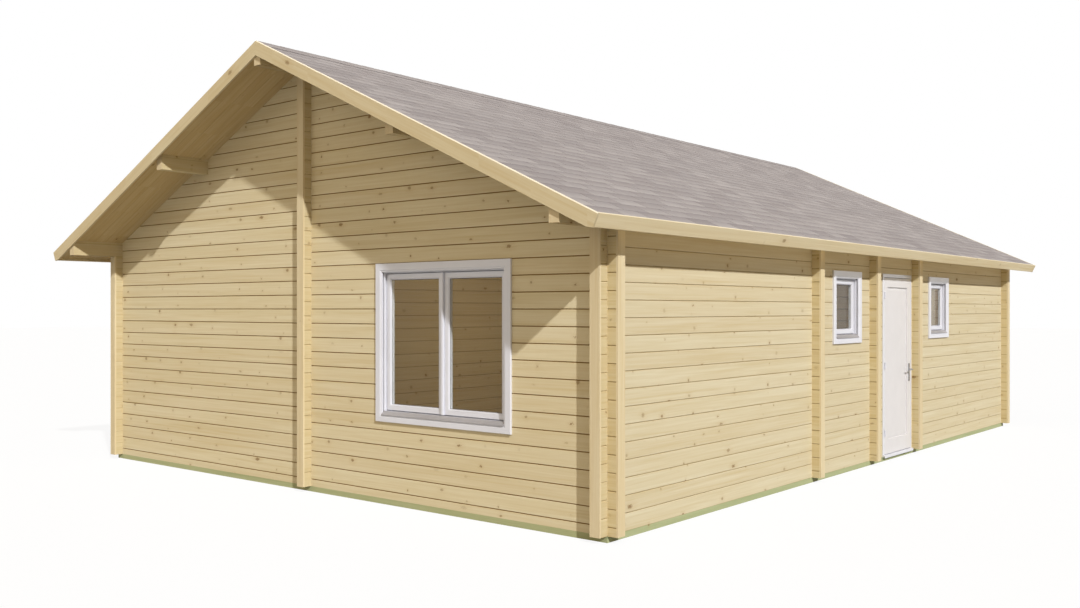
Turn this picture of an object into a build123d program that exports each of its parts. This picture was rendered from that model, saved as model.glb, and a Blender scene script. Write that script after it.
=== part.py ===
"""Log cabin of machined spruce logs: walls of stacked courses crossing at the corners,
a centre partition under the ridge, three cross partitions, and a shingled saddle roof.

X runs along the gables, Y from the front gable to the back one, Z up. The origin is on the
ground in the middle of the whole outline. All sizes are in millimetres.
"""
from build123d import *
from math import atan, ceil, cos, pi, sin
import os

os.makedirs("parts", exist_ok=True)

# ---------------------------------------------------------------- driving dimensions
# Log walls
WIDTH = 6980.0            # outside the side walls
LENGTH = 10000.0          # outside the gable walls
WALL = 92.0               # thickness of a log
COURSE = 134.0            # height of a log
V_DEPTH = 6.0             # the V between two logs
V_RISE = 6.0
JOINT = 0.6               # hairline joint between two pieces
LOG_END = 78.0            # a log runs this far past the wall it crosses
COVER = 18.0              # board over the log ends
BEARER = 50.0             # treated timber under the walls
HEAD = 2077.0             # top of every window casing and of the door frame, above the bearers
CROSS_WALLS = (3480.0, 4948.0, 6254.0)   # front face of each cross partition, from the front

# Roof
SLOPE = 0.4655            # rise over run
EAVE_LOG = 116.0          # outer height of the log cut to the slope on top of a side wall
FRONT_OVERHANG = 594.0    # to the outer face of the barge boards
BACK_OVERHANG = 403.0
EAVE_OVERHANG = 350.0     # to the upper outer edge of the eave board
ROOF_BOARD = 20.0
ROOF_CORE = 55.0
SHINGLES = 8.0
BARGE = 20.0              # thickness of barge and eave boards
BARGE_DROP = 34.0         # barge boards hang this far below the roof boards, square to the slope
EAVE_DROP = 17.0          # and the eave boards this far
PURLIN_OFFSET = 1711.0    # middle purlins, from the ridge

# Floor
FLOOR = 28.0
JOIST = 50.0
JOIST_SPACING = 620.0

# Windows, sizes over the casing
LARGE_WINDOW = (1590.0, 1397.0)
LARGE_WINDOW_X = 1765.0   # middle of the large window, from the ridge line
SMALL_WINDOW = (724.0, 766.0)
SMALL_WINDOWS = (4331.0, 7170.0)         # middles, from the front
CASING = 78.0
CASING_FOOT = 60.0        # the lower casing board is narrower, under the sill
CASING_DEPTH = 20.0
CASING_LAP = 45.0         # casing over the logs
FRAME_SIGHT = 14.0        # frame seen inside the casing
FRAME_RECESS = 12.0       # frame behind the wall's outer face
FRAME_DEPTH = 70.0
SASH = 52.0
SASH_RECESS = 34.0
SASH_DEPTH = 50.0
GLASS_RECESS = 50.0
GLASS = 20.0
MULLION = 24.0
SILL_DROP = 42.0          # rise of the sloping sill
SILL_NOSE = 4.0           # sill past the casing
SILL_EDGE = 5.0           # its height there

# Door
DOOR_WIDTH = 890.0        # over the frame
DOOR_CLEAR = 47.0         # from the frame to the third cross partition
DOOR_FRAME = 40.0
DOOR_LAP = 15.0
DOOR_FACE = 10.0          # frame proud of the logs
LEAF_GAP = 5.0
LEAF = 56.0
STOP = 16.0
THRESHOLD = 20.0
PANEL_MARGIN = 112.0      # from the panel to the leaf's sides
PANEL_HEAD = 98.0
PANEL_FOOT = 77.0
PANEL_RECESS = 8.0
ROUND_SIDES = 16          # small round bars and holes are drawn with flats
HINGE_R = 8.0
PIN_R = 4.0
PIN_GAP = 0.05
KNUCKLE = 34.0
KNUCKLE_GAP = 0.4
HINGE_PLATE = 2.5
HINGE_WIDTH = 30.0
HINGE_LIFT = 1.5          # from the knuckles to the door's face
HINGE_HEIGHTS = (230.0, 1000.0, 1800.0)
BACKSET = 45.0
HANDLE_HEIGHT = 960.0
PLATE = (32.0, 210.0, 7.0)
PLATE_DROP = 35.0         # its middle below the lever
LEVER = 118.0
LEVER_R = 9.0
LEVER_REACH = 48.0
SPINDLE = 8.0
SPINDLE_HOLE = 20.0

# Doorways through the partitions
DOORWAY = 800.0
LINTEL_COURSES = 2        # logs over a doorway, up to the top of the side walls
DOORWAY_OFFSET = 300.0    # from the centre partition to a doorway in a cross partition

# ---------------------------------------------------------------- places worked out from them
BASE = BEARER
COURSES = ceil(HEAD / COURSE) + 1        # full logs in a side wall, one at least over the door
HALF_WIDTH = WIDTH / 2
FRONT = -(FRONT_OVERHANG + LENGTH + BACK_OVERHANG) / 2 + FRONT_OVERHANG
BACK = FRONT + LENGTH
ANGLE = atan(SLOPE)
ROOF = ROOF_BOARD + ROOF_CORE + SHINGLES
LEFT_OUT = -HALF_WIDTH
RIGHT_OUT = HALF_WIDTH
FRONT_END = FRONT - LOG_END
BACK_END = BACK + LOG_END
SIDE_END = HALF_WIDTH + LOG_END
WALL_TOP = BASE + COURSES * COURSE
RIDGE = WALL_TOP + EAVE_LOG + SLOPE * HALF_WIDTH
RIDGE_COURSES = int((RIDGE - BASE - WALL) / COURSE)
RIDGE_LOG = BASE + RIDGE_COURSES * COURSE
DOOR_Y = CROSS_WALLS[2] - DOOR_CLEAR - DOOR_WIDTH / 2
CROSS_YS = [FRONT + y + WALL / 2 for y in CROSS_WALLS]
BAYS = list(zip([FRONT + WALL] + [y + WALL / 2 for y in CROSS_YS],
                [y - WALL / 2 for y in CROSS_YS] + [BACK - WALL]))
PURLIN_FRONT = FRONT - FRONT_OVERHANG + BARGE
PURLIN_BACK = BACK + BACK_OVERHANG - BARGE
SIDE_SEAM = BASE + COURSE
GABLE_SEAM = BASE + COURSE / 2


def soffit(x):
    """Height of the roof boards' underside."""
    return RIDGE - SLOPE * abs(x)


# ---------------------------------------------------------------- log walls
def log_profile(low, high, first_seam, both_faces):
    """Section through stacked logs, with a V at every seam: on one face, or on both."""
    count = ceil((high - first_seam) / COURSE) + 1
    seams = [first_seam + COURSE * n for n in range(count)]
    corners = [seam + rise for seam in seams for rise in (-V_RISE, 0, V_RISE)]
    heights = [low] + [height for height in corners if low + JOINT < height < high - JOINT] + [high]
    face = []
    for height in heights:
        from_seam = min(abs(height - seam) for seam in seams)
        depth = V_DEPTH * max(0, 1 - from_seam / V_RISE)
        face.append((WALL / 2 - depth, height))
    back = face if both_faces else [(WALL / 2, low), (WALL / 2, high)]
    return face + [(-across, height) for across, height in reversed(back)]


def gable_logs(y, start, end, low, high):
    """Logs along X, with their middle plane at y and the Vs on the outer face."""
    outward = 1 if y > (FRONT + BACK) / 2 else -1
    with BuildSketch(Plane(origin=(start, y, 0), x_dir=(0, outward, 0), z_dir=(outward, 0, 0))) as section:
        with BuildLine():
            Polyline(*log_profile(low, high, GABLE_SEAM, False), close=True)
        make_face()
    extrude(section.sketch, amount=outward * (end - start))


def side_logs(x, start, end, low, high):
    """Logs along Y, with their middle plane at x; Vs on the outer face, or on both where x is 0."""
    outward = -1 if x < 0 else 1
    with BuildSketch(Plane(origin=(x, start, 0), x_dir=(outward, 0, 0), z_dir=(0, -outward, 0))) as section:
        with BuildLine():
            Polyline(*log_profile(low, high, SIDE_SEAM, x == 0), close=True)
        make_face()
    extrude(section.sketch, amount=-outward * (end - start))


def corner_notches(corners, first_log):
    """Housings for the crossing logs, whose middles start at first_log: half a log high each."""
    middles = [first_log + COURSE * n for n in range(COURSES + 1)]
    with Locations(*[(x, y, middle) for x, y in corners for middle in middles]):
        Box(WALL, WALL, COURSE / 2, mode=Mode.SUBTRACT)


def under_roof():
    """Cut the part in hand to the slope of the roof."""
    for side in (-1, 1):
        split(bisect_by=Plane(origin=(0, 0, RIDGE), z_dir=(side * SLOPE, 0, 1)), keep=Keep.BOTTOM)


CORNER_X = HALF_WIDTH - WALL / 2
FRONT_Y = FRONT + WALL / 2
BACK_Y = BACK - WALL / 2
LARGE_HOLE = (LARGE_WINDOW[0] - 2 * CASING_LAP, LARGE_WINDOW[1] - 2 * CASING_LAP)
SMALL_HOLE = (SMALL_WINDOW[0] - 2 * CASING_LAP, SMALL_WINDOW[1] - 2 * CASING_LAP)
HOLE_TOP = BASE + HEAD - CASING_LAP
LARGE_SILL = HOLE_TOP - LARGE_HOLE[1]
SMALL_SILL = HOLE_TOP - SMALL_HOLE[1]
PURLIN_LOW = soffit(PURLIN_OFFSET) - COURSE


def gable_part(y, low, high, openings=()):
    """One band of a gable wall, both sides of the centre partition, with gaps for openings."""
    edges = [-SIDE_END, -WALL / 2, WALL / 2]
    for start, end in openings:
        edges += [start, end]
    edges.append(SIDE_END)
    for start, end in zip(edges[0::2], edges[1::2]):
        gable_logs(y, start, end, low, high)
    corner_notches([(-CORNER_X, y), (CORNER_X, y)], BASE + COURSE / 2)


WINDOW_GAP = (LARGE_WINDOW_X - LARGE_HOLE[0] / 2, LARGE_WINDOW_X + LARGE_HOLE[0] / 2)
for name, y in (("front", FRONT_Y), ("back", BACK_Y)):
    with BuildPart() as lower:
        gable_part(y, BASE, LARGE_SILL)
    lower.part.label = name + "_wall_lower"
    export_step(lower.part, "parts/" + name + "_wall_lower.step")

    with BuildPart() as beside:
        gable_part(y, LARGE_SILL, HOLE_TOP, (WINDOW_GAP,))
    beside.part.label = name + "_wall_beside_window"
    export_step(beside.part, "parts/" + name + "_wall_beside_window.step")

    with BuildPart() as gable:
        gable_part(y, HOLE_TOP, RIDGE)
        under_roof()
        for x in (-CORNER_X, CORNER_X):
            with Locations((x, y, WALL_TOP)):
                Box(WALL, WALL, RIDGE, align=(Align.CENTER, Align.CENTER, Align.MIN),
                    mode=Mode.SUBTRACT)
        for x in (-PURLIN_OFFSET, PURLIN_OFFSET):
            with Locations((x, y, PURLIN_LOW)):
                Box(WALL, WALL, RIDGE, align=(Align.CENTER, Align.CENTER, Align.MIN),
                    mode=Mode.SUBTRACT)
    gable.part.label = name + "_gable"
    export_step(gable.part, "parts/" + name + "_gable.step")


def side_part(x, low, high, openings=()):
    """One band of a side wall: a run of logs in each bay, with gaps for openings."""
    for bay, (start, end) in enumerate(BAYS):
        edges = [start]
        if bay == 0:
            edges = [FRONT_END]
        for opening in openings:
            if start < opening[0] < end:
                edges += opening
        if bay == len(BAYS) - 1:
            edges.append(BACK_END)
        else:
            edges.append(end)
        for low_y, high_y in zip(edges[0::2], edges[1::2]):
            side_logs(x, low_y, high_y, low, high)
    corner_notches([(x, FRONT_Y), (x, BACK_Y)], BASE)


DOOR_GAP = (FRONT + DOOR_Y - DOOR_WIDTH / 2 + DOOR_LAP, FRONT + DOOR_Y + DOOR_WIDTH / 2 - DOOR_LAP)
DOOR_TOP = BASE + HEAD - DOOR_LAP
SMALL_GAPS = [(FRONT + y - SMALL_HOLE[0] / 2, FRONT + y + SMALL_HOLE[0] / 2) for y in SMALL_WINDOWS]
for name, x, doors in (("right", CORNER_X, [DOOR_GAP]), ("left", -CORNER_X, [])):
    with BuildPart() as lower:
        side_part(x, BASE, SMALL_SILL, doors)
    lower.part.label = name + "_wall_lower"
    export_step(lower.part, "parts/" + name + "_wall_lower.step")

    with BuildPart() as beside:
        side_part(x, SMALL_SILL, HOLE_TOP, sorted(SMALL_GAPS + doors))
    beside.part.label = name + "_wall_beside_windows"
    export_step(beside.part, "parts/" + name + "_wall_beside_windows.step")

    with BuildPart() as upper:
        side_part(x, HOLE_TOP, WALL_TOP)
        if doors:
            with Locations((x, FRONT + DOOR_Y, HOLE_TOP)):
                Box(WALL, DOOR_GAP[1] - DOOR_GAP[0], DOOR_TOP - HOLE_TOP,
                    align=(Align.CENTER, Align.CENTER, Align.MIN), mode=Mode.SUBTRACT)
    upper.part.label = name + "_wall_upper"
    export_step(upper.part, "parts/" + name + "_wall_upper.step")


def purlins(spots, low):
    """Logs along the roof with their tops cut to the slope."""
    with Locations(*[(x, PURLIN_FRONT, low) for x in spots]):
        Box(WALL, PURLIN_BACK - PURLIN_FRONT, RIDGE, align=(Align.CENTER, Align.MIN, Align.MIN))
    under_roof()


for name, x in (("right", CORNER_X), ("left", -CORNER_X)):
    with BuildPart() as eave_log:
        purlins([x], WALL_TOP)
    eave_log.part.label = name + "_eave_log"
    export_step(eave_log.part, "parts/" + name + "_eave_log.step")

with BuildPart() as middle_purlins:
    purlins([-PURLIN_OFFSET, PURLIN_OFFSET], PURLIN_LOW)
middle_purlins.part.label = "middle_purlins"
export_step(middle_purlins.part, "parts/middle_purlins.step")

with BuildPart() as ridge_purlin:
    purlins([0], RIDGE_LOG)
ridge_purlin.part.label = "ridge_purlin"
export_step(ridge_purlin.part, "parts/ridge_purlin.step")

# ---------------------------------------------------------------- partitions
DOORWAY_TOP = WALL_TOP - LINTEL_COURSES * COURSE
HALL_Y = (BAYS[2][0] + BAYS[2][1]) / 2
with BuildPart() as centre_lower:
    side_logs(0, FRONT_END, HALL_Y - DOORWAY / 2, BASE, DOORWAY_TOP)
    side_logs(0, HALL_Y + DOORWAY / 2, BACK_END, BASE, DOORWAY_TOP)
centre_lower.part.label = "centre_partition_lower"
export_step(centre_lower.part, "parts/centre_partition_lower.step")

with BuildPart() as centre_upper:
    side_logs(0, FRONT_END, BACK_END, DOORWAY_TOP, RIDGE_LOG)
centre_upper.part.label = "centre_partition_upper"
export_step(centre_upper.part, "parts/centre_partition_upper.step")

DOORWAY_START = WALL / 2 + DOORWAY_OFFSET
with BuildPart() as cross_lower:
    for y in CROSS_YS:
        for start, end in ((WALL / 2, DOORWAY_START), (DOORWAY_START + DOORWAY, SIDE_END)):
            gable_logs(y, start, end, BASE, DOORWAY_TOP)
            gable_logs(y, -end, -start, BASE, DOORWAY_TOP)
cross_lower.part.label = "cross_partitions_lower"
export_step(cross_lower.part, "parts/cross_partitions_lower.step")

with BuildPart() as cross_upper:
    for y in CROSS_YS:
        gable_logs(y, WALL / 2, SIDE_END, DOORWAY_TOP, WALL_TOP)
        gable_logs(y, -SIDE_END, -WALL / 2, DOORWAY_TOP, WALL_TOP)
cross_upper.part.label = "cross_partitions_upper"
export_step(cross_upper.part, "parts/cross_partitions_upper.step")

# ---------------------------------------------------------------- bearers and floor
with BuildPart() as long_bearers:
    with Locations(*[(x, (FRONT + BACK) / 2, 0) for x in (-CORNER_X, 0, CORNER_X)]):
        Box(WALL, LENGTH, BEARER, align=(Align.CENTER, Align.CENTER, Align.MIN))
long_bearers.part.label = "long_bearers"
export_step(long_bearers.part, "parts/long_bearers.step")

ROOM_WIDTH = HALF_WIDTH - 1.5 * WALL
with BuildPart() as cross_bearers:
    for y in [FRONT_Y] + CROSS_YS + [BACK_Y]:
        with Locations(*[(side * (WALL / 2 + ROOM_WIDTH / 2), y, 0) for side in (-1, 1)]):
            Box(ROOM_WIDTH, WALL, BEARER, align=(Align.CENTER, Align.CENTER, Align.MIN))
cross_bearers.part.label = "cross_bearers"
export_step(cross_bearers.part, "parts/cross_bearers.step")

with BuildPart() as joists:
    for start, end in BAYS:
        count = max(2, round((end - start) / JOIST_SPACING))
        step = (end - start) / count
        spots = [start + step * (n + 0.5) for n in range(count)]
        with Locations(*[(side * (WALL / 2 + ROOM_WIDTH / 2), y, 0) for y in spots for side in (-1, 1)]):
            Box(ROOM_WIDTH, JOIST, BEARER, align=(Align.CENTER, Align.CENTER, Align.MIN))
joists.part.label = "floor_joists"
export_step(joists.part, "parts/floor_joists.step")

with BuildPart() as floor:
    for start, end in BAYS:
        with Locations(*[(side * (WALL / 2 + ROOM_WIDTH / 2), (start + end) / 2, BEARER)
                         for side in (-1, 1)]):
            Box(ROOM_WIDTH, end - start, FLOOR, align=(Align.CENTER, Align.CENTER, Align.MIN))
floor.part.label = "floor_boards"
export_step(floor.part, "parts/floor_boards.step")

# ---------------------------------------------------------------- roof
ROOF_EDGE = (HALF_WIDTH + EAVE_OVERHANG - ROOF * sin(ANGLE)) / cos(ANGLE)
ROOF_START = FRONT - FRONT_OVERHANG + BARGE
ROOF_LENGTH = LENGTH + FRONT_OVERHANG + BACK_OVERHANG - 2 * BARGE


def on_slope(run, lift):
    """Point run down the slope from the ridge, and lift square to it above the roof boards."""
    return run * cos(ANGLE) + lift * sin(ANGLE), RIDGE - run * sin(ANGLE) + lift * cos(ANGLE)


def at_ridge(lift):
    """Point of a layer's face beside the hairline joint at the ridge."""
    return JOINT / 2, RIDGE + lift / cos(ANGLE) - SLOPE * JOINT / 2


def slope_piece(side, corners, y, length):
    """A piece of one roof slope from its section, running back from y."""
    with BuildSketch(Plane.XZ.offset(-y)) as section:
        with BuildLine():
            Polyline(*[(side * across, height) for across, height in corners], close=True)
        make_face()
    extrude(section.sketch, amount=-length)


LAYERS = (("roof_boards", 0, ROOF_BOARD), ("roof_core", ROOF_BOARD, ROOF_BOARD + ROOF_CORE),
          ("shingles", ROOF_BOARD + ROOF_CORE, ROOF))
for layer, low, high in LAYERS:
    with BuildPart() as slab:
        for side in (1, -1):
            corners = [at_ridge(low), on_slope(ROOF_EDGE - BARGE, low),
                       on_slope(ROOF_EDGE - BARGE, high), at_ridge(high)]
            slope_piece(side, corners, ROOF_START, ROOF_LENGTH)
    slab.part.label = layer
    export_step(slab.part, "parts/" + layer + ".step")

EAVE_FOOT = on_slope(ROOF_EDGE, -EAVE_DROP)
BARGE_FOOT_RUN = (RIDGE - BARGE_DROP * cos(ANGLE) - EAVE_FOOT[1]) / sin(ANGLE)
with BuildPart() as barge_boards:
    corners = [at_ridge(-BARGE_DROP), on_slope(BARGE_FOOT_RUN, -BARGE_DROP), EAVE_FOOT,
               on_slope(ROOF_EDGE, ROOF), at_ridge(ROOF)]
    for side in (1, -1):
        for y in (ROOF_START - BARGE, ROOF_START + ROOF_LENGTH):
            slope_piece(side, corners, y, BARGE)
barge_boards.part.label = "barge_boards"
export_step(barge_boards.part, "parts/barge_boards.step")

with BuildPart() as eave_boards:
    corners = [on_slope(ROOF_EDGE - BARGE, -EAVE_DROP), EAVE_FOOT,
               on_slope(ROOF_EDGE, ROOF), on_slope(ROOF_EDGE - BARGE, ROOF)]
    for side in (1, -1):
        slope_piece(side, corners, ROOF_START, ROOF_LENGTH)
eave_boards.part.label = "eave_boards"
export_step(eave_boards.part, "parts/eave_boards.step")

# ---------------------------------------------------------------- boards over the log ends
for name, y in (("front", FRONT_END - COVER), ("back", BACK_END)):
    with BuildPart() as covers:
        for x, top in ((-CORNER_X, WALL_TOP), (0, RIDGE_LOG), (CORNER_X, WALL_TOP)):
            with Locations((x, y + COVER / 2, BASE)):
                Box(WALL, COVER, top - BASE, align=(Align.CENTER, Align.CENTER, Align.MIN))
    covers.part.label = name + "_end_boards"
    export_step(covers.part, "parts/" + name + "_end_boards.step")

for name, side in (("right", 1), ("left", -1)):
    with BuildPart() as covers:
        for y, top in [(FRONT_Y, RIDGE), (BACK_Y, RIDGE)] + [(y, WALL_TOP) for y in CROSS_YS]:
            with Locations((side * (SIDE_END + COVER / 2), y, BASE)):
                Box(COVER, WALL, top - BASE, align=(Align.CENTER, Align.CENTER, Align.MIN))
        under_roof()
    covers.part.label = name + "_end_boards"
    export_step(covers.part, "parts/" + name + "_end_boards.step")


# ---------------------------------------------------------------- windows
def wall_plane(wall, along, height):
    """Plane on a wall's outer face: X along the wall, Y up, Z outwards."""
    if wall == "front":
        return Plane(origin=(along, FRONT, height), x_dir=(1, 0, 0), z_dir=(0, -1, 0))
    if wall == "back":
        return Plane(origin=(along, BACK, height), x_dir=(-1, 0, 0), z_dir=(0, 1, 0))
    if wall == "right":
        return Plane(origin=(RIGHT_OUT, FRONT + along, height), x_dir=(0, 1, 0), z_dir=(1, 0, 0))
    return Plane(origin=(LEFT_OUT, FRONT + along, height), x_dir=(0, -1, 0), z_dir=(-1, 0, 0))


def four_bars(plane, size, bar, foot, low, high):
    """Two uprights with a head and a foot between them, from low to high out of the plane."""
    width, height = size
    with BuildSketch(plane.offset(low)) as section:
        with Locations((bar / 2 - width / 2, 0), (width / 2 - bar / 2, 0)):
            Rectangle(bar, height)
        with Locations((0, height / 2 - bar / 2)):
            Rectangle(width - 2 * bar - 2 * JOINT, bar)
        with Locations((0, foot / 2 - height / 2)):
            Rectangle(width - 2 * bar - 2 * JOINT, foot)
    extrude(section.sketch, amount=high - low)


LARGE_PLANES = [wall_plane(wall, LARGE_WINDOW_X, BASE + HEAD - LARGE_WINDOW[1] / 2)
                for wall in ("front", "back")]
SMALL_PLANES = [wall_plane(wall, y, BASE + HEAD - SMALL_WINDOW[1] / 2)
                for wall in ("right", "left") for y in SMALL_WINDOWS]
FRAME = CASING - CASING_LAP + FRAME_SIGHT
FRAME_FOOT = CASING_FOOT - CASING_LAP + SILL_DROP
KINDS = ((LARGE_PLANES, LARGE_WINDOW, LARGE_HOLE, 2), (SMALL_PLANES, SMALL_WINDOW, SMALL_HOLE, 1))


def inside_frame(hole):
    """Width, height and rise of the space inside a window frame."""
    return hole[0] - 2 * FRAME, hole[1] - FRAME - FRAME_FOOT, (FRAME_FOOT - FRAME) / 2


def sash_spots(hole, sashes):
    """Width of a sash and the middle of each."""
    width = (inside_frame(hole)[0] - (sashes - 1) * MULLION) / sashes
    return width, [(n - (sashes - 1) / 2) * (width + MULLION) for n in range(sashes)]


with BuildPart() as casings:
    for planes, size, hole, sashes in KINDS:
        for plane in planes:
            four_bars(plane, size, CASING, CASING_FOOT, 0, CASING_DEPTH)
casings.part.label = "window_casings"
export_step(casings.part, "parts/window_casings.step")

with BuildPart() as frames:
    for planes, size, hole, sashes in KINDS:
        inner_width, inner_height, rise = inside_frame(hole)
        for plane in planes:
            four_bars(plane, hole, FRAME, FRAME_FOOT, -FRAME_RECESS - FRAME_DEPTH, -FRAME_RECESS)
            if sashes == 2:
                with BuildSketch(plane.offset(-FRAME_RECESS - FRAME_DEPTH)):
                    with Locations((0, rise)):
                        Rectangle(MULLION, inner_height - 2 * JOINT)
                extrude(amount=FRAME_DEPTH)
frames.part.label = "window_frames"
export_step(frames.part, "parts/window_frames.step")

with BuildPart() as sash_bars:
    for planes, size, hole, sashes in KINDS:
        inner_width, inner_height, rise = inside_frame(hole)
        width, middles = sash_spots(hole, sashes)
        for plane in planes:
            for middle in middles:
                sash_plane = Plane(origin=plane.from_local_coords((middle, rise, 0)), x_dir=plane.x_dir,
                                   z_dir=plane.z_dir)
                four_bars(sash_plane, (width, inner_height), SASH, SASH, -SASH_RECESS - SASH_DEPTH,
                          -SASH_RECESS)
sash_bars.part.label = "window_sashes"
export_step(sash_bars.part, "parts/window_sashes.step")

with BuildPart() as panes:
    for planes, size, hole, sashes in KINDS:
        inner_width, inner_height, rise = inside_frame(hole)
        width, middles = sash_spots(hole, sashes)
        for plane in planes:
            with BuildSketch(plane.offset(-GLASS_RECESS - GLASS)):
                with Locations(*[(middle, rise) for middle in middles]):
                    Rectangle(width - 2 * SASH, inner_height - 2 * SASH)
            extrude(amount=GLASS)
panes.part.label = "window_panes"
export_step(panes.part, "parts/window_panes.step")

SILL_OUT = CASING_DEPTH + SILL_NOSE
with BuildPart() as sills:
    for planes, size, hole, sashes in KINDS:
        run = size[0] - 2 * CASING
        for plane in planes:
            corner = plane.from_local_coords((run / 2, CASING_FOOT - size[1] / 2, 0))
            with BuildSketch(Plane(origin=corner, x_dir=plane.z_dir, z_dir=-plane.x_dir)):
                with BuildLine():
                    Polyline((-FRAME_RECESS, 0), (SILL_OUT, 0), (SILL_OUT, SILL_EDGE),
                             (-FRAME_RECESS, SILL_DROP), close=True)
                make_face()
            extrude(amount=run)
sills.part.label = "window_sills"
export_step(sills.part, "parts/window_sills.step")

# ---------------------------------------------------------------- door
DOOR = wall_plane("right", DOOR_Y, BASE)
JAMB = DOOR_FRAME - DOOR_LAP
LEAF_WIDTH = DOOR_WIDTH - 2 * DOOR_FRAME - 2 * LEAF_GAP
LEAF_LOW = THRESHOLD + LEAF_GAP
LEAF_HIGH = HEAD - DOOR_FRAME - LEAF_GAP
LEAF_BACK = DOOR_FACE - LEAF
PANEL_LOW = LEAF_LOW + PANEL_FOOT
PANEL_HIGH = LEAF_HIGH - PANEL_HEAD
HINGE_Y = -LEAF_WIDTH / 2 - LEAF_GAP / 2
HINGE_OUT = DOOR_FACE + HINGE_R + HINGE_LIFT
HANDLE_Y = LEAF_WIDTH / 2 - BACKSET


def round_bar(radius):
    """Section of a small round bar."""
    RegularPolygon(radius, ROUND_SIDES)


def round_hole(radius):
    """Section of a hole that a bar of this radius turns in."""
    RegularPolygon(radius / cos(pi / ROUND_SIDES), ROUND_SIDES, mode=Mode.SUBTRACT)


def door_bars(width, head, bar, low, high):
    """Two jambs and a head, from low to high out of the wall's face."""
    with BuildSketch(DOOR.offset(low)) as section:
        with Locations((bar / 2 - width / 2, head / 2), (width / 2 - bar / 2, head / 2)):
            Rectangle(bar, head)
        with Locations((0, head - bar / 2)):
            Rectangle(width - 2 * bar - 2 * JOINT, bar)
    extrude(section.sketch, amount=high - low)


with BuildPart() as door_frame:
    door_bars(DOOR_WIDTH, HEAD, DOOR_FRAME, 0, DOOR_FACE)
    door_bars(DOOR_WIDTH - 2 * DOOR_LAP, HEAD - DOOR_LAP, JAMB, -WALL, 0)
door_frame.part.label = "door_frame"
export_step(door_frame.part, "parts/door_frame.step")

with BuildPart() as stops:
    door_bars(DOOR_WIDTH - 2 * DOOR_FRAME, HEAD - DOOR_FRAME, STOP, -WALL, LEAF_BACK - LEAF_GAP)
stops.part.label = "door_stops"
export_step(stops.part, "parts/door_stops.step")

with BuildPart() as threshold:
    with BuildSketch(DOOR.offset(-WALL)):
        with Locations((0, THRESHOLD / 2)):
            Rectangle(DOOR_WIDTH - 2 * DOOR_FRAME - 2 * STOP - 2 * JOINT, THRESHOLD)
    extrude(amount=WALL + DOOR_FACE)
threshold.part.label = "door_threshold"
export_step(threshold.part, "parts/door_threshold.step")

with BuildPart() as leaf:
    with BuildSketch(DOOR.offset(LEAF_BACK)):
        with Locations((0, (LEAF_LOW + LEAF_HIGH) / 2)):
            Rectangle(LEAF_WIDTH, LEAF_HIGH - LEAF_LOW)
    extrude(amount=LEAF)
    for level, inward in ((DOOR_FACE, -PANEL_RECESS), (LEAF_BACK, PANEL_RECESS)):
        with BuildSketch(DOOR.offset(level)):
            with Locations((0, (PANEL_LOW + PANEL_HIGH) / 2)):
                Rectangle(LEAF_WIDTH - 2 * PANEL_MARGIN, PANEL_HIGH - PANEL_LOW)
        extrude(amount=inward, mode=Mode.SUBTRACT)
    with BuildSketch(DOOR.offset(LEAF_BACK)):
        with Locations((HANDLE_Y, HANDLE_HEIGHT)):
            round_bar(SPINDLE_HOLE / 2)
    extrude(amount=LEAF, mode=Mode.SUBTRACT)
leaf.part.label = "door_leaf"
export_step(leaf.part, "parts/door_leaf.step")


def hinge_plane(height):
    """Level plane at a height on the door, X along the wall."""
    return Plane(origin=DOOR.from_local_coords((0, height, 0)), x_dir=DOOR.x_dir, z_dir=(0, 0, 1))


def hinge_half(height, direction, bore):
    """One knuckle with its plate, reaching towards direction along the wall."""
    with BuildSketch(hinge_plane(height)) as section:
        with Locations((HINGE_Y, -HINGE_OUT)):
            round_bar(HINGE_R)
        with Locations((HINGE_Y + direction * HINGE_WIDTH / 2, -DOOR_FACE - HINGE_PLATE / 2)):
            Rectangle(HINGE_WIDTH, HINGE_PLATE)
        if bore:
            with Locations((HINGE_Y, -HINGE_OUT)):
                round_hole(PIN_R + PIN_GAP)
    extrude(section.sketch, amount=KNUCKLE)


with BuildPart() as frame_hinges:
    for height in HINGE_HEIGHTS:
        hinge_half(height, -1, False)
        with BuildSketch(hinge_plane(height)):
            with Locations((HINGE_Y, -HINGE_OUT)):
                round_bar(PIN_R)
        extrude(amount=2 * KNUCKLE)
frame_hinges.part.label = "door_frame_hinges"
export_step(frame_hinges.part, "parts/door_frame_hinges.step")

with BuildPart() as leaf_hinges:
    for height in HINGE_HEIGHTS:
        hinge_half(height + KNUCKLE + KNUCKLE_GAP, 1, True)
leaf_hinges.part.label = "door_leaf_hinges"
export_step(leaf_hinges.part, "parts/door_leaf_hinges.step")

with BuildPart() as plates:
    for level in (DOOR_FACE, LEAF_BACK - PLATE[2]):
        with BuildSketch(DOOR.offset(level)):
            with Locations((HANDLE_Y, HANDLE_HEIGHT - PLATE_DROP)):
                Rectangle(PLATE[0], PLATE[1])
            with Locations((HANDLE_Y, HANDLE_HEIGHT)):
                round_hole(LEVER_R + PIN_GAP)
        extrude(amount=PLATE[2])
plates.part.label = "door_handle_plates"
export_step(plates.part, "parts/door_handle_plates.step")

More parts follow.
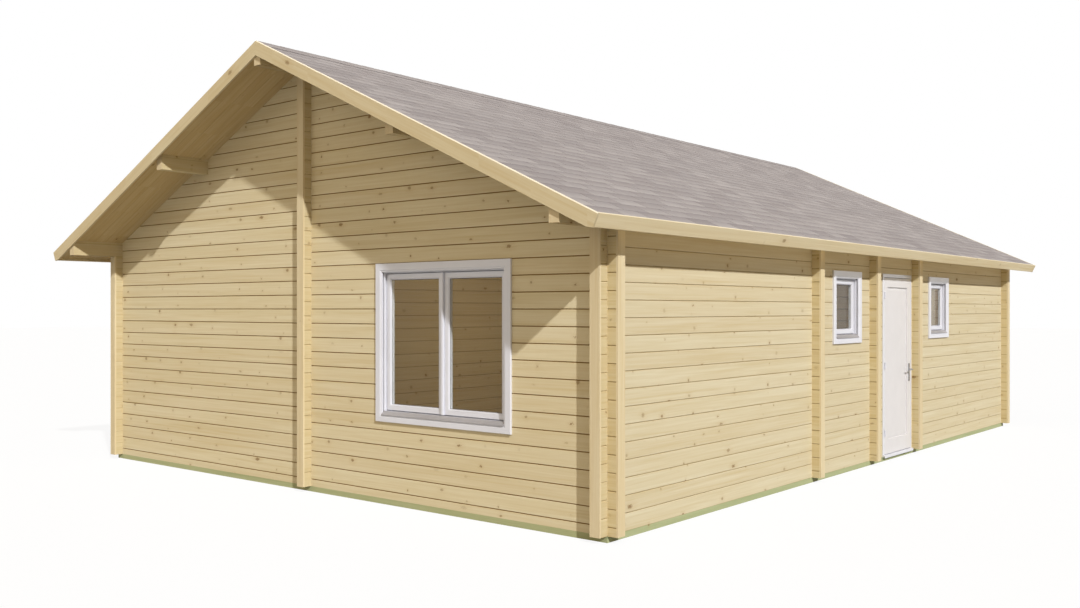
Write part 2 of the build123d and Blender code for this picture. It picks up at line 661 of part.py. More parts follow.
with BuildPart() as lever:
    for level, outward in ((DOOR_FACE, 1), (LEAF_BACK, -1)):
        with BuildSketch(DOOR.offset(level)):
            with Locations((HANDLE_Y, HANDLE_HEIGHT)):
                round_bar(LEVER_R)
        extrude(amount=outward * LEVER_REACH)
        grip = DOOR.from_local_coords((HANDLE_Y + LEVER_R, HANDLE_HEIGHT, level + outward * LEVER_REACH))
        with BuildSketch(Plane(origin=grip, x_dir=DOOR.z_dir, z_dir=-DOOR.x_dir)):
            round_bar(LEVER_R)
        extrude(amount=LEVER + LEVER_R)
    with BuildSketch(DOOR.offset(LEAF_BACK)):
        with Locations((HANDLE_Y, HANDLE_HEIGHT)):
            Rectangle(SPINDLE, SPINDLE)
    extrude(amount=LEAF)
lever.part.label = "door_lever"
export_step(lever.part, "parts/door_lever.step")
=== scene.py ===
# %% [markdown]
# # A log cabin, dressed
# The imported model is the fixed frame: every log, board and hinge is in place at its real size. This
# script gives each its finish, and adds what is too fine for the solids: roof shingles, matched boards,
# moulded window bars, the door's panel and its furniture.
# Lengths are in metres. X runs along the gables, Y from the front gable to the back one, Z up.

import bmesh
import bpy
import numpy as np
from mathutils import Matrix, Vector


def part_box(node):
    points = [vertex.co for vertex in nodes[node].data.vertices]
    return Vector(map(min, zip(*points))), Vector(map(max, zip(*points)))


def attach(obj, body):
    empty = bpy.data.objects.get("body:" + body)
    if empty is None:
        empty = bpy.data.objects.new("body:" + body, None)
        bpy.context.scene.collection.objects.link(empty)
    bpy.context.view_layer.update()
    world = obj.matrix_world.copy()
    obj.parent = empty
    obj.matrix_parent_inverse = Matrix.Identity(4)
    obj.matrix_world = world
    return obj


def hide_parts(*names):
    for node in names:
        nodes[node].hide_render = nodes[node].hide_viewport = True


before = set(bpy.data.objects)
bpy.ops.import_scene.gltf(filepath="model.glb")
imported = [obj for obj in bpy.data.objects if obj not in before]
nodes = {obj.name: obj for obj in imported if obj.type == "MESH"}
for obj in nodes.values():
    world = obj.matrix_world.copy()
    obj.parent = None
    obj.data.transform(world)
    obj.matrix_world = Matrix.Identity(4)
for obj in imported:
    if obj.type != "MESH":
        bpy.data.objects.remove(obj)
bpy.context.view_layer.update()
print("frame:", len(nodes), "nodes")

# %% [markdown]
# ## Where the walls are
# Pieces are placed from the frame's own boxes, so nothing is fitted by eye. The long bearers lie exactly
# under the walls: their box gives the outer faces, and their top is the floor line that heights are
# counted from. The ridge height and the pitch give the roof's slopes.

# %% Faces of the walls and the plane of the roof
WALL = 0.092
COURSE = 0.134
SLOPE = 0.4655
ROOF_BOARD = 0.020
DECK = 0.075
bearer_low, bearer_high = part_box("long_bearers")
LEFT, FRONT = bearer_low.x, bearer_low.y
RIGHT, BACK = bearer_high.x, bearer_high.y
BASE = bearer_high.z
PITCH = np.arctan(SLOPE)
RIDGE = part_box("roof_boards")[1].z - ROOF_BOARD / np.cos(PITCH)
core_low, core_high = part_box("roof_core")
ROOF_FRONT, ROOF_BACK = core_low.y, core_high.y
ROOF_RUN = (core_high.x - DECK * np.sin(PITCH)) / np.cos(PITCH)
print("walls:", round(RIGHT - LEFT, 3), "by", round(BACK - FRONT, 3), "ridge", round(RIDGE, 3))

# %% [markdown]
# ## The camera
# Low, at eye height, off the front right corner: the view that shows one gable and one long side. A
# slightly wide lens gives the strong convergence of both walls.

# %% Camera
scene = bpy.context.scene
CAMERA_OFFSET = Vector((4.489, -6.2465, 1.7253))
CAMERA_TURN = 39.4
camera_data = bpy.data.cameras.new("camera")
camera = bpy.data.objects.new("camera", camera_data)
scene.collection.objects.link(camera)
camera.location = Vector((RIGHT, FRONT, 0)) + CAMERA_OFFSET
camera.rotation_euler = (np.pi / 2, 0, np.radians(CAMERA_TURN))
camera_data.sensor_width = 36.0
camera_data.lens = 34.73
camera_data.shift_y = 0.00468
camera_data.clip_end = 200
scene.camera = camera
print("camera at", [round(c, 2) for c in camera.location])

# %% [markdown]
# ## Surfaces from arrays
# Every new piece is a stack of closed rings: a profile carried along a path, or a rectangle carried
# through a profile. One function numbers the faces between the rings, so a piece only has to say where
# its corners are, in an array shaped (rings, corners, 3).


# %% Rings into faces
def ring_solid(rings, looped=False):
    """Corners and faces of a solid from its rings: corner j of ring i joins corner j of ring i + 1.

    A looped solid joins its last ring to the first; otherwise the two end rings are closed by caps.
    """
    count, sides = rings.shape[:2]
    ring = np.arange(count if looped else count - 1)[:, None] * sides
    after = (ring + sides) % (count * sides)
    side = np.arange(sides)
    beside = (side + 1) % sides
    quads = np.stack([ring + side, ring + beside, after + beside, after + side], axis=-1)
    faces = quads.reshape(-1, 4).tolist()
    if not looped:
        faces += [side[::-1].tolist(), (side + (count - 1) * sides).tolist()]
    return rings.reshape(-1, 3), faces


# %% Many solids into one piece
def make_piece(name, solids, material, replaced=None, body="house", tones=None, smooth=False):
    """Join solids in one mesh, turn their faces outwards, and hand the piece to the frame."""
    points, faces, start = [], [], 0
    for corners, sides in solids:
        points.append(corners)
        faces += [[start + corner for corner in side] for side in sides]
        start += len(corners)
    mesh = bpy.data.meshes.new(name)
    mesh.from_pydata(np.concatenate(points), [], faces)
    if tones is not None:
        tone = mesh.attributes.new("tone", "FLOAT", "POINT")
        tone.data.foreach_set("value", np.repeat(tones, [len(corners) for corners in points]))
    shell = bmesh.new()
    shell.from_mesh(mesh)
    bmesh.ops.recalc_face_normals(shell, faces=shell.faces)
    shell.to_mesh(mesh)
    shell.free()
    mesh.materials.append(material)
    if smooth:
        mesh.shade_smooth()
    piece = bpy.data.objects.new(name, mesh)
    scene.collection.objects.link(piece)
    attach(piece, body)
    if replaced:
        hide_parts(replaced)
    print(name, "-", len(solids), "solids,", len(faces), "faces")


# %% A face of the building to work on
class Spot:
    """A place on a wall: across runs along the wall, up is up, and out points away from the building."""

    def __init__(self, origin, across):
        self.origin = np.array(origin, dtype=float)
        self.across = np.array(across, dtype=float)
        self.out = np.array([across[1], -across[0], 0.0])

    def solid(self, across, up, out, looped=False):
        """A solid from arrays of local positions of its rings."""
        across, up, out = np.broadcast_arrays(across, up, out)
        rings = self.origin + across[..., None] * self.across + out[..., None] * self.out
        rings[..., 2] += up
        return ring_solid(rings, looped)

    def bar(self, width, section, rise=0.0):
        """A section of (out, up) points run across the spot, with its zero height at the rise."""
        out, up = np.array(section).T
        return self.solid(np.array([[-width / 2], [width / 2]]), rise + up, out)


def wall_spot(wall, along, height):
    """A spot on one of the four walls; along counts from the ridge line or from the front gable."""
    x, y = (LEFT + RIGHT) / 2 + along, FRONT + along
    places = {"front": ((x, FRONT), (1, 0)), "back": ((x, BACK), (-1, 0)),
              "right": ((RIGHT, y), (0, 1)), "left": ((LEFT, y), (0, -1))}
    origin, across = places[wall]
    return Spot((*origin, height), (*across, 0))


# %% [markdown]
# ## Shader building blocks
# Blender materials are graphs. A small class keeps them short to read: its methods add a node, do a sum
# or mix two colours. What several materials use becomes a node group with named inputs, made once.


# %% Node helpers
class Graph:
    """A node tree with short ways to add to it; any value may be a number, or a socket to link from."""

    def __init__(self, tree):
        self.tree = tree

    def feed(self, sockets, values):
        """Link or set sockets by their names."""
        for name, value in values.items():
            if isinstance(value, bpy.types.NodeSocket):
                self.tree.links.new(value, sockets[name])
            else:
                sockets[name].default_value = value

    def add(self, kind, values=(), **settings):
        """Add a shader node."""
        made = self.tree.nodes.new("ShaderNode" + kind)
        for name, setting in settings.items():
            setattr(made, name, setting)
        self.feed(made.inputs, dict(values))
        return made

    def calc(self, operation, *values):
        """A sum on one, two or three numbers."""
        return self.add("Math", enumerate(values), operation=operation).outputs[0]

    def times(self, first, second):
        """A product of two numbers."""
        return self.calc("MULTIPLY", first, second)

    def vector(self, operation, *values):
        """A sum on vectors."""
        return self.add("VectorMath", enumerate(values), operation=operation).outputs[0]

    def point(self, x, y, z=0.0):
        """A vector from its three numbers."""
        return self.add("CombineXYZ", {"X": x, "Y": y, "Z": z}).outputs[0]

    def split(self, vector):
        """The three numbers of a vector, by their names."""
        return self.add("SeparateXYZ", {"Vector": vector}).outputs

    def noise(self, place, scale, detail, **look):
        """Soft noise between 0 and 1."""
        values = {"Vector": place, "Scale": scale, "Detail": detail, **look}
        return self.add("TexNoise", values).outputs["Fac"]

    def fade(self, value, low, high, start=0.0, end=1.0):
        """Value carried from low..high to start..end, held at both ends."""
        values = {"Value": value, "From Min": low, "From Max": high, "To Min": start, "To Max": end}
        return self.add("MapRange", values).outputs[0]

    def blend(self, share, first, second, mode="MIX"):
        """Mix two colours."""
        return self.add("Mix", {0: share, 6: first, 7: second}, data_type="RGBA", blend_type=mode).outputs[2]

    def sloping(self, operation, x, z, x_share, z_share):
        """A length along or square to the roof: the shares of |x| and z, added or subtracted."""
        return self.calc(operation, self.times(self.calc("ABSOLUTE", x), x_share), self.times(z, z_share))


# %% New groups and materials
FLOAT, COLOR = "NodeSocketFloat", "NodeSocketColor"


def new_group(name, inputs, outputs):
    """A graph for a node group, with what it is given and what it results in; a tuple means a colour."""
    tree = bpy.data.node_groups.new(name, "ShaderNodeTree")
    for label, default in inputs.items():
        kind = COLOR if isinstance(default, tuple) else FLOAT
        tree.interface.new_socket(label, in_out="INPUT", socket_type=kind).default_value = default
    for label in outputs:
        tree.interface.new_socket(label, in_out="OUTPUT", socket_type=COLOR if label == "Color" else FLOAT)
    return Graph(tree), tree.nodes.new("NodeGroupInput").outputs, tree.nodes.new("NodeGroupOutput").inputs


def new_material(name, **surface):
    """A material with its graph and its Principled shader, whose constants are set on its sockets."""
    material = bpy.data.materials.new(name)
    material.use_nodes = True
    graph = Graph(material.node_tree)
    shader = graph.tree.nodes["Principled BSDF"]
    graph.feed(shader.inputs, {label.replace("_", " "): value for label, value in surface.items()})
    return material, graph, shader


def set_surface(graph, shader, color, roughness, height, strength, distance):
    """Give a Principled shader its colour, its roughness and a bump."""
    bump = graph.add("Bump", {"Strength": strength, "Distance": distance, "Height": height}).outputs[0]
    graph.feed(shader.inputs, {"Base Color": color, "Roughness": roughness, "Normal": bump})


def mix_surface(graph, shader, share, other):
    """Let another shader take a share of the Principled one's place."""
    chosen = graph.add("MixShader", {0: share, 1: shader.outputs[0], 2: other.outputs[0]})
    graph.feed(graph.tree.nodes["Material Output"].inputs, {"Surface": chosen.outputs[0]})


def srgb(red, green, blue):
    """A screen colour, 0 to 255, as the linear colour a shader works in."""
    screen = np.array([red, green, blue]) / 255
    linear = np.where(screen <= 0.04045, screen / 12.92, ((screen + 0.055) / 1.055) ** 2.4)
    return (*linear.tolist(), 1.0)


# %% [markdown]
# ## Planed spruce
# Fresh spruce is pale straw with darker growth lines along the piece, and with round brown knots. The
# group takes how far along, across and into the piece a point is, so the same wood serves a log along X
# and a board down the slope. Knots are the nearest points of a cell pattern, and their size is measured
# in metres so they stay round.

# %% The spruce group and its knots
KNOT_SPACING = (0.36, 0.134, 1.0)
KNOT_RADII = (0.006, 0.018)
KNOT_RAGGED = 0.005
FRESH = (srgb(218, 208, 178), srgb(203, 187, 147))
spruce, given, result = new_group(
    "spruce", {"Along": 0, "Across": 0, "Into": 0, "Tone": 0.5, "Knots": 0.6, "Pale": FRESH[0],
               "Deep": FRESH[1]}, ("Color", "Roughness", "Height"))
shifted = spruce.calc("MULTIPLY_ADD", given["Tone"], 7.3, given["Along"])
place = spruce.point(shifted, given["Across"], given["Into"])
knot_cells = spruce.vector("MULTIPLY", place, tuple(1 / spacing for spacing in KNOT_SPACING))
cell = spruce.add("TexVoronoi", {"Vector": knot_cells, "Scale": 1.0, "Randomness": 0.8},
                  voronoi_dimensions="2D").outputs
offset = spruce.vector("SUBTRACT", knot_cells, cell["Position"])
offset = spruce.vector("MULTIPLY", offset, (*KNOT_SPACING[:2], 0))
lot = spruce.add("SeparateColor", {"Color": cell["Color"]}).outputs
second_lot = spruce.calc("FRACT", spruce.times(lot["Red"], 37.0))
offset = spruce.vector("MULTIPLY", offset, spruce.point(spruce.fade(second_lot, 0, 1, 1.1, 0.4), 1.0))
middle_off = spruce.add("VectorMath", {0: offset}, operation="LENGTH").outputs["Value"]
ragged = spruce.fade(spruce.noise(place, 110.0, 1.0), 0.3, 0.7, -KNOT_RAGGED, KNOT_RAGGED)
radius = spruce.fade(spruce.calc("POWER", lot["Green"], 2.0), 0, 1, *KNOT_RADII)
radii_off = spruce.calc("DIVIDE", spruce.calc("ADD", middle_off, ragged), radius)
present = spruce.times(spruce.calc("LESS_THAN", lot["Red"], given["Knots"]),
                       spruce.fade(lot["Blue"], 0, 1, 0.05, 0.9))
knot = spruce.times(present, spruce.fade(radii_off, 0.6, 1.2, 1, 0))
halo = spruce.times(present, spruce.fade(radii_off, 0.9, 4.0, 1, 0))
print("spruce group:", len(spruce.tree.nodes), "nodes for its knots")

# %% [markdown]
# Growth lines swerve round a knot. They are two layers of noise stretched along the grain: fine streaks
# and broad bands.

# %% The grain of the spruce
FINE, BROAD = {"detail": 5.0, "Roughness": 0.6, "Distortion": 0.35}, {"detail": 3.0, "Distortion": 0.8}
swerve = spruce.calc("MULTIPLY_ADD", halo, 0.012, given["Across"])
layers = []
for along_share, fineness, seed, high, weight, look in ((1.3, 60, 31, 0.72, 0.55, FINE),
                                                        (0.5, 14, 17, 0.7, 0.45, BROAD)):
    into = spruce.calc("MULTIPLY_ADD", given["Into"], fineness, spruce.times(given["Tone"], seed))
    place = spruce.point(spruce.times(shifted, along_share), spruce.times(swerve, fineness), into)
    layers.append(spruce.times(spruce.fade(spruce.noise(place, 1.0, **look), 0.35, high), weight))
grain = spruce.calc("ADD", *layers)
wood = spruce.blend(grain, given["Pale"], given["Deep"])
for share, tint in ((spruce.fade(given["Tone"], 0, 1, 0.0, 0.12), srgb(180, 150, 104)),
                    (spruce.times(halo, 0.22), srgb(176, 142, 88)),
                    (spruce.times(knot, 0.80), srgb(120, 88, 48))):
    wood = spruce.blend(share, wood, tint)
spruce.feed(result, {"Color": wood, "Roughness": spruce.fade(grain, 0, 1, 0.5, 0.64),
                     "Height": spruce.calc("MULTIPLY_ADD", knot, 0.5, spruce.times(grain, 0.4))})
print("spruce group:", len(spruce.tree.nodes), "nodes in all")

# %% [markdown]
# ## One log or board from the next
# Stacked logs differ a little in tone, and the joint between two of them collects shade. This group turns
# a height into the log's own random number, and into a mask that is 1 in the joint. Boards side by side
# use it too, with their own pitch.

# %% The courses group
courses, given, result = new_group(
    "courses", {"Position": 0, "Pitch": COURSE, "Start": 0, "Row": 0, "Joint": 0.004},
    ("Tone", "Joint", "Within"))
steps = courses.calc("DIVIDE", courses.calc("SUBTRACT", given["Position"], given["Start"]), given["Pitch"])
index = courses.calc("FLOOR", steps)
lot = courses.point(index, given["Row"])
tone = courses.add("TexWhiteNoise", {"Vector": lot}, noise_dimensions="2D").outputs["Value"]
part = courses.calc("SUBTRACT", steps, index)
nearest = courses.calc("MINIMUM", part, courses.calc("SUBTRACT", 1.0, part))
from_joint = courses.calc("DIVIDE", courses.times(nearest, given["Pitch"]), given["Joint"])
courses.feed(result, {"Tone": tone, "Joint": courses.fade(from_joint, 0.55, 1.5, 1, 0), "Within": part})
print("courses group:", len(courses.tree.nodes), "nodes")


# %% [markdown]
# ## Wood for each way a piece can lie
# A material picks which of the object's own directions is along the grain. Log ends get end grain, which
# is darker and mottled. Boards that show no joints are wide courses without shade, which is what the
# values left out stand for.

# %% Wood materials
END_PALE, END_DEEP = srgb(220, 206, 174), srgb(202, 182, 142)
TAIL_TINT, SPAN_SLACK = (0.92, 0.88, 0.78, 1), 0.0005
# A painted highlight for the faces of the edge boards that look up.
HIGHLIGHT_COLOR = srgb(250, 244, 230)
# Painted shade for the joints between logs and between boards.
SEAM_SHADE = srgb(117, 82, 8)


def wood_material(name, lie, row, pitch=0.5, start=0.1, joint=0.003, shade=0.0, knots=0.12, tints=FRESH,
                  ends=True, span=None, top_highlight=0.0):
    """Spruce in courses of one pitch.

    lie names the directions along, across and into the wood: X, Y, Z, or D down the roof and L off it.
    row is the direction that tells one wall from another. Logs are warmer beyond the span between the
    walls' outer faces. Faces that look up get a painted highlight, and shade sets how dark the painted
    shade in the joints is.
    """
    along, across, into = lie
    material, graph, shader = new_material(name, Specular_IOR_Level=0.04)
    place = graph.add("TexCoord").outputs
    axis, facing = graph.split(place["Object"]), graph.split(place["Normal"])
    x, z = axis["X"], axis["Z"]
    reach = {"X": x, "Y": axis["Y"], "Z": z,
             "D": graph.sloping("SUBTRACT", x, z, np.cos(PITCH), np.sin(PITCH)),
             "L": graph.sloping("ADD", x, z, np.sin(PITCH), np.cos(PITCH))}
    row_number = graph.calc("FLOOR", graph.calc("MULTIPLY_ADD", reach[row], 2.0, 0.5))
    course = graph.add("Group", {"Position": reach[across], "Row": row_number, "Pitch": pitch,
                                 "Start": start, "Joint": joint}, node_tree=courses.tree).outputs
    grown = {"Along": reach[along], "Across": reach[across], "Into": reach[into], "Knots": knots,
             "Tone": course["Tone"], "Pale": tints[0], "Deep": tints[1]}
    color, roughness, height = graph.add("Group", grown, node_tree=spruce.tree).outputs
    # Painted shade in the joint: the joint mask times shade.
    seam_shade = graph.times(course["Joint"], shade)
    if span:
        off_centre = graph.calc("SUBTRACT", reach[along], (span[0] + span[1]) / 2)
        half = (span[1] - span[0]) / 2 + SPAN_SLACK
        tail = graph.calc("GREATER_THAN", graph.calc("ABSOLUTE", off_centre), half)
        color = graph.blend(tail, color, graph.blend(1.0, color, TAIL_TINT, "MULTIPLY"))
        seam_shade = graph.times(seam_shade, graph.fade(tail, 0, 1, 1.0, 0.55))
    if ends and along in "XYZ":
        end = graph.fade(graph.calc("ABSOLUTE", facing[along]), 0.7, 0.9)
        rings = graph.noise(place["Object"], 60.0, 3.0)
        color = graph.blend(end, color, graph.blend(rings, END_PALE, END_DEEP))
    # Painted highlight: faces that look up are lightened by the share given.
    if top_highlight:
        color = graph.blend(graph.fade(facing["Z"], 0.4, 0.6, 0, top_highlight), color, HIGHLIGHT_COLOR)
    # The painted shade darkens the joint towards a deep brown.
    color = graph.blend(seam_shade, color, SEAM_SHADE)
    set_surface(graph, shader, color, roughness, height, 0.25, 0.0015)
    return material


# %% The woods of this building
LOG_KNOTS = 0.6
ROOF_BOARD_PITCH, FLOOR_BOARD_PITCH = 0.1205, 0.114
# GABLE is a little lighter than the fresh spruce and SIDE a little darker: painted light on the gable logs
# and painted shade on the logs along the building, for how the sun falls on each wall.
SIDE = (srgb(213, 204, 177), srgb(199, 184, 147))
GABLE = (srgb(221, 211, 181), srgb(206, 190, 149))
COVER = (srgb(221, 209, 178), srgb(208, 190, 150))
# BARGE is a little darker and EAVE a little lighter than COVER, the same boards: painted shade on the barge
# boards and painted light on the eave boards.
BARGE = (srgb(213, 201, 169), srgb(200, 182, 142))
EAVE = (srgb(228, 216, 184), srgb(214, 196, 155))
# The roof boards are painted darker than the other boards: painted shade under the roof's overhang.
SHADED_SOFFIT = (srgb(203, 184, 142), srgb(184, 158, 110))
TREATED = (srgb(176, 182, 142), srgb(156, 164, 122))
gable_log_wood = wood_material("gable_logs", "XZY", "Y", COURSE, BASE + COURSE / 2, joint=0.0037, shade=0.92,
                               knots=LOG_KNOTS, tints=GABLE, span=(LEFT, RIGHT))
side_log_wood = wood_material("side_logs", "YZX", "X", COURSE, BASE + COURSE, joint=0.0023, shade=0.62,
                              knots=LOG_KNOTS, tints=SIDE, span=(FRONT, BACK))
cover_wood = wood_material("cover_boards", "ZXY", "Y", start=0.21, tints=COVER)
barge_wood = wood_material("barge_boards", "DLY", "X", tints=BARGE, top_highlight=0.65)
eave_wood = wood_material("eave_boards", "YLD", "X", tints=EAVE, ends=False, top_highlight=0.4)
roof_board_wood = wood_material("roof_boards", "DYL", "X", ROOF_BOARD_PITCH, ROOF_FRONT, joint=0.002,
                                shade=0.15, knots=0.08, tints=SHADED_SOFFIT)
floor_board_wood = wood_material("floor_boards", "YXZ", "Y", FLOOR_BOARD_PITCH, 0.0, joint=0.0015, shade=0.7,
                                 knots=0.3, ends=False)
treated_wood = wood_material("treated_timber", "XZY", "Y", knots=0.2, tints=TREATED, ends=False)
treated_wood_y = wood_material("treated_timber_long", "YZX", "X", knots=0.2, tints=TREATED, ends=False)
print("wood materials:", len(bpy.data.materials))


# %% [markdown]
# ## Paint, coated sheet, steel and glass
# Brushed paint is never quite even: a weak large mottle in its colour and a fine ripple in its surface
# are enough. One group serves the frames, the door and the sills, with other values.

# %% The coating group
coating, given, result = new_group(
    "coating", {"Paint": srgb(230, 228, 226), "Shade": srgb(214, 212, 212), "Ripple": 90.0, "Gloss": 0.35},
    ("Color", "Roughness", "Height"))
place = coating.add("TexCoord").outputs["Object"]
mottle = coating.fade(coating.noise(place, 5.0, 3.0), 0.35, 0.65)
ripple = coating.noise(place, given["Ripple"], 2.0)
coating.feed(result, {"Color": coating.blend(mottle, given["Paint"], given["Shade"]),
                      "Roughness": coating.calc("MULTIPLY_ADD", ripple, 0.12, given["Gloss"]),
                      "Height": ripple})
print("coating group:", len(coating.tree.nodes), "nodes")


# %% Coated materials
def coated_material(name, paint, shade, gloss, ripple=90.0, bump_depth=0.0003, **surface):
    """A painted or coated surface, from two screen colours that its mottle goes between."""
    material, graph, shader = new_material(name, **surface)
    coat = {"Paint": srgb(*paint), "Shade": srgb(*shade), "Gloss": gloss, "Ripple": ripple}
    set_surface(graph, shader, *graph.add("Group", coat, node_tree=coating.tree).outputs, 0.3, bump_depth)
    return material


white_paint = coated_material("white_paint", (215, 216, 224), (212, 213, 221), 0.34, Specular_IOR_Level=0.9,
                              Coat_Weight=0.6, Coat_Roughness=0.25)
door_paint = coated_material("door_paint", (215, 213, 214), (212, 210, 211), 0.38)
sill_coat = coated_material("sill_coat", (170, 167, 168), (164, 161, 163), 0.32, Metallic=0.3)
steel = coated_material("satin_steel", (176, 176, 178), (150, 150, 154), 0.22, ripple=400.0,
                        bump_depth=0.00005, Metallic=1.0)
insulation = coated_material("insulation", (214, 208, 186), (198, 190, 166), 0.75)
rubber_seal = coated_material("rubber_seal", (60, 60, 62), (44, 44, 46), 0.5)
print("coated materials:", [white_paint.name, door_paint.name, sill_coat.name, steel.name])

# %% [markdown]
# Glass bends light, but a ray from a lamp would never find its way through two faces of it. Mixing in a
# clear shader for those rays lets daylight into the rooms, while every other ray still sees real glass.

# %% Glass
glass, graph, shader = new_material("clear_glass", Base_Color=srgb(240, 244, 242), Roughness=0.0, IOR=1.25,
                                    Specular_IOR_Level=0.04, Transmission_Weight=1.0)
path = graph.add("LightPath").outputs
through = graph.calc("MAXIMUM", path["Is Shadow Ray"], path["Is Diffuse Ray"])
mix_surface(graph, shader, through, graph.add("BsdfTransparent", {"Color": (0.86, 0.88, 0.87, 1)}))
print("materials:", len(bpy.data.materials))

# %% [markdown]
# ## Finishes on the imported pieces
# The logs, boards and bearers already have their true shape, so they keep it and only change material.
# Walls that match have names that match, so one line names them all.


# %% Give the frame its finishes
def named(starts, ends):
    """The names that begin with each of the starts and end with each of the ends."""
    return [start + "_" + end for start in starts.split() for end in ends.split()]


FINISHES = (
    (gable_log_wood, named("front back", "wall_lower wall_beside_window gable")
     + named("cross_partitions", "lower upper")),
    (side_log_wood, named("right left", "wall_lower wall_beside_windows wall_upper eave_log")
     + named("centre_partition", "lower upper") + ["ridge_purlin"]),
    (cover_wood, named("front back right left", "end_boards")),
    (treated_wood_y, ["long_bearers"]),
    (treated_wood, ["cross_bearers", "floor_joists"]),
    (insulation, ["roof_core"]),
    (glass, ["window_panes"]),
    (white_paint, ["door_stops", "door_frame_hinges", "door_leaf_hinges"]),
)
for material, names in FINISHES:
    for name in names:
        nodes[name].data.materials.clear()
        nodes[name].data.materials.append(material)
print("finished:", sum(len(names) for material, names in FINISHES), "nodes")

# %% [markdown]
# ## Roof shingles
# Bitumen shingles are laid in rows from the eave up. Slots cut each row into tabs, and every other row is
# shifted by half a tab so that no slot lies over another. A tab is a thin slab: its upper end is tucked
# under the row above, and its lower end rests on the row below. Arrays place a whole row at once.

# %% Points on the roof
def on_roof(side, run, along, lift):
    """World positions: run down the slope from the ridge, along the building, lift square to it."""
    run, along, lift = np.broadcast_arrays(run, along, lift)
    across = side * (run * np.cos(PITCH) + lift * np.sin(PITCH))
    return np.stack([across, along, RIDGE - run * np.sin(PITCH) + lift * np.cos(PITCH)], axis=-1)


def ridge_run(lift):
    """Where a layer meets its neighbour at the ridge: uphill of the point the run is counted from."""
    return 0.001 - lift * np.tan(PITCH)


# %% Shingle tabs
SHINGLE_ROW = 0.1445
TAB, SLOT, LEAST_TAB = 0.3335, 0.008, 0.02
TUCK = 0.022
TAB_THICK = 0.0025
HEAD_LIFT = DECK + 0.0002
FOOT_LIFT = DECK + 0.0028
FOOT_STRAY = 0.002
TAB_SIDES = [[0, 1, 2, 3], [4, 5, 6, 7], [0, 1, 5, 4], [1, 2, 6, 5], [2, 3, 7, 6], [3, 0, 4, 7]]
tab_chance = np.random.default_rng(7)
shingle_solids, shingle_tones = [], []
for side in (1, -1):
    for row in range(int(np.ceil((ROOF_RUN - ridge_run(DECK)) / SHINGLE_ROW))):
        foot = ROOF_RUN - row * SHINGLE_ROW
        edges = np.arange(ROOF_FRONT - (TAB / 2 if row % 2 else 0.0), ROOF_BACK, TAB)
        starts = np.clip(edges + SLOT / 2, ROOF_FRONT, ROOF_BACK)
        ends = np.clip(edges + TAB - SLOT / 2, ROOF_FRONT, ROOF_BACK)
        wide = ends - starts > LEAST_TAB
        starts, ends = starts[wide], ends[wide]
        feet = foot - tab_chance.uniform(0.0, FOOT_STRAY, len(starts))
        corners = []
        for thick in (0.0, TAB_THICK):
            head = max(foot - SHINGLE_ROW - TUCK, ridge_run(HEAD_LIFT + thick))
            corners += [on_roof(side, run, along, lift + thick)
                        for run, along, lift in ((head, starts, HEAD_LIFT), (head, ends, HEAD_LIFT),
                                                 (feet, ends, FOOT_LIFT), (feet, starts, FOOT_LIFT))]
        shingle_solids += [(tab, TAB_SIDES) for tab in np.stack(corners, axis=1)]
        shingle_tones.append(tab_chance.uniform(0, 1, len(starts)))
print("shingle tabs:", len(shingle_solids))

# %% [markdown]
# Under the tabs lies a sheet of felt, and over the ridge goes a row of folded caps. Each cap is a wedge,
# thicker at its front end, so that a thin step shows where the next one begins.

# %% Felt and ridge caps
FELT_LOW, FELT_HIGH, FELT_TONE = DECK + 0.0001, DECK + 0.0002, 0.2
CAP_LENGTH, CAP_REACH = 0.25, 0.15
CAP_LIFT = DECK + 0.0053
CAP_TOP = DECK + 0.0078
CAP_TAIL = DECK + 0.0062
ROOF_ENDS = np.array([[ROOF_FRONT], [ROOF_BACK]])
for side in (1, -1):
    felt_run = np.array([ridge_run(DECK), ROOF_RUN, ROOF_RUN, ridge_run(DECK)])
    felt_lift = np.array([FELT_LOW, FELT_LOW, FELT_HIGH, FELT_HIGH])
    shingle_solids.append(ring_solid(on_roof(side, felt_run, ROOF_ENDS, felt_lift)))
    shingle_tones.append(np.array([FELT_TONE]))
cap_starts = np.arange(ROOF_FRONT, ROOF_BACK, CAP_LENGTH)
cap_ends = np.minimum(cap_starts + CAP_LENGTH, ROOF_BACK)
cap_rings = []
for along, top in ((cap_starts, CAP_TOP), (cap_ends, CAP_TAIL)):
    outline = ((1, CAP_REACH, CAP_LIFT), (1, CAP_REACH, top), (1, -top * np.tan(PITCH), top),
               (-1, CAP_REACH, top), (-1, CAP_REACH, CAP_LIFT), (1, -CAP_LIFT * np.tan(PITCH), CAP_LIFT))
    cap_rings.append(np.stack([on_roof(side, run, along, lift) for side, run, lift in outline], axis=1))
shingle_solids += [ring_solid(cap) for cap in np.stack(cap_rings, axis=1)]
shingle_tones.append(tab_chance.uniform(0, 1, len(cap_starts)))
print("ridge caps:", len(cap_starts))

# %% [markdown]
# The face of a shingle is pressed full of mineral grit, and each tab is a little lighter or darker than
# the next. The tab's own number is stored on its corners as an attribute, and the shader reads it by
# name. The grit is a small noise in both the colour and the bump. Painted shade darkens each row towards
# the row above, and a painted highlight lightens the lower edge of some tabs; both make the tabs look
# thicker than they are.

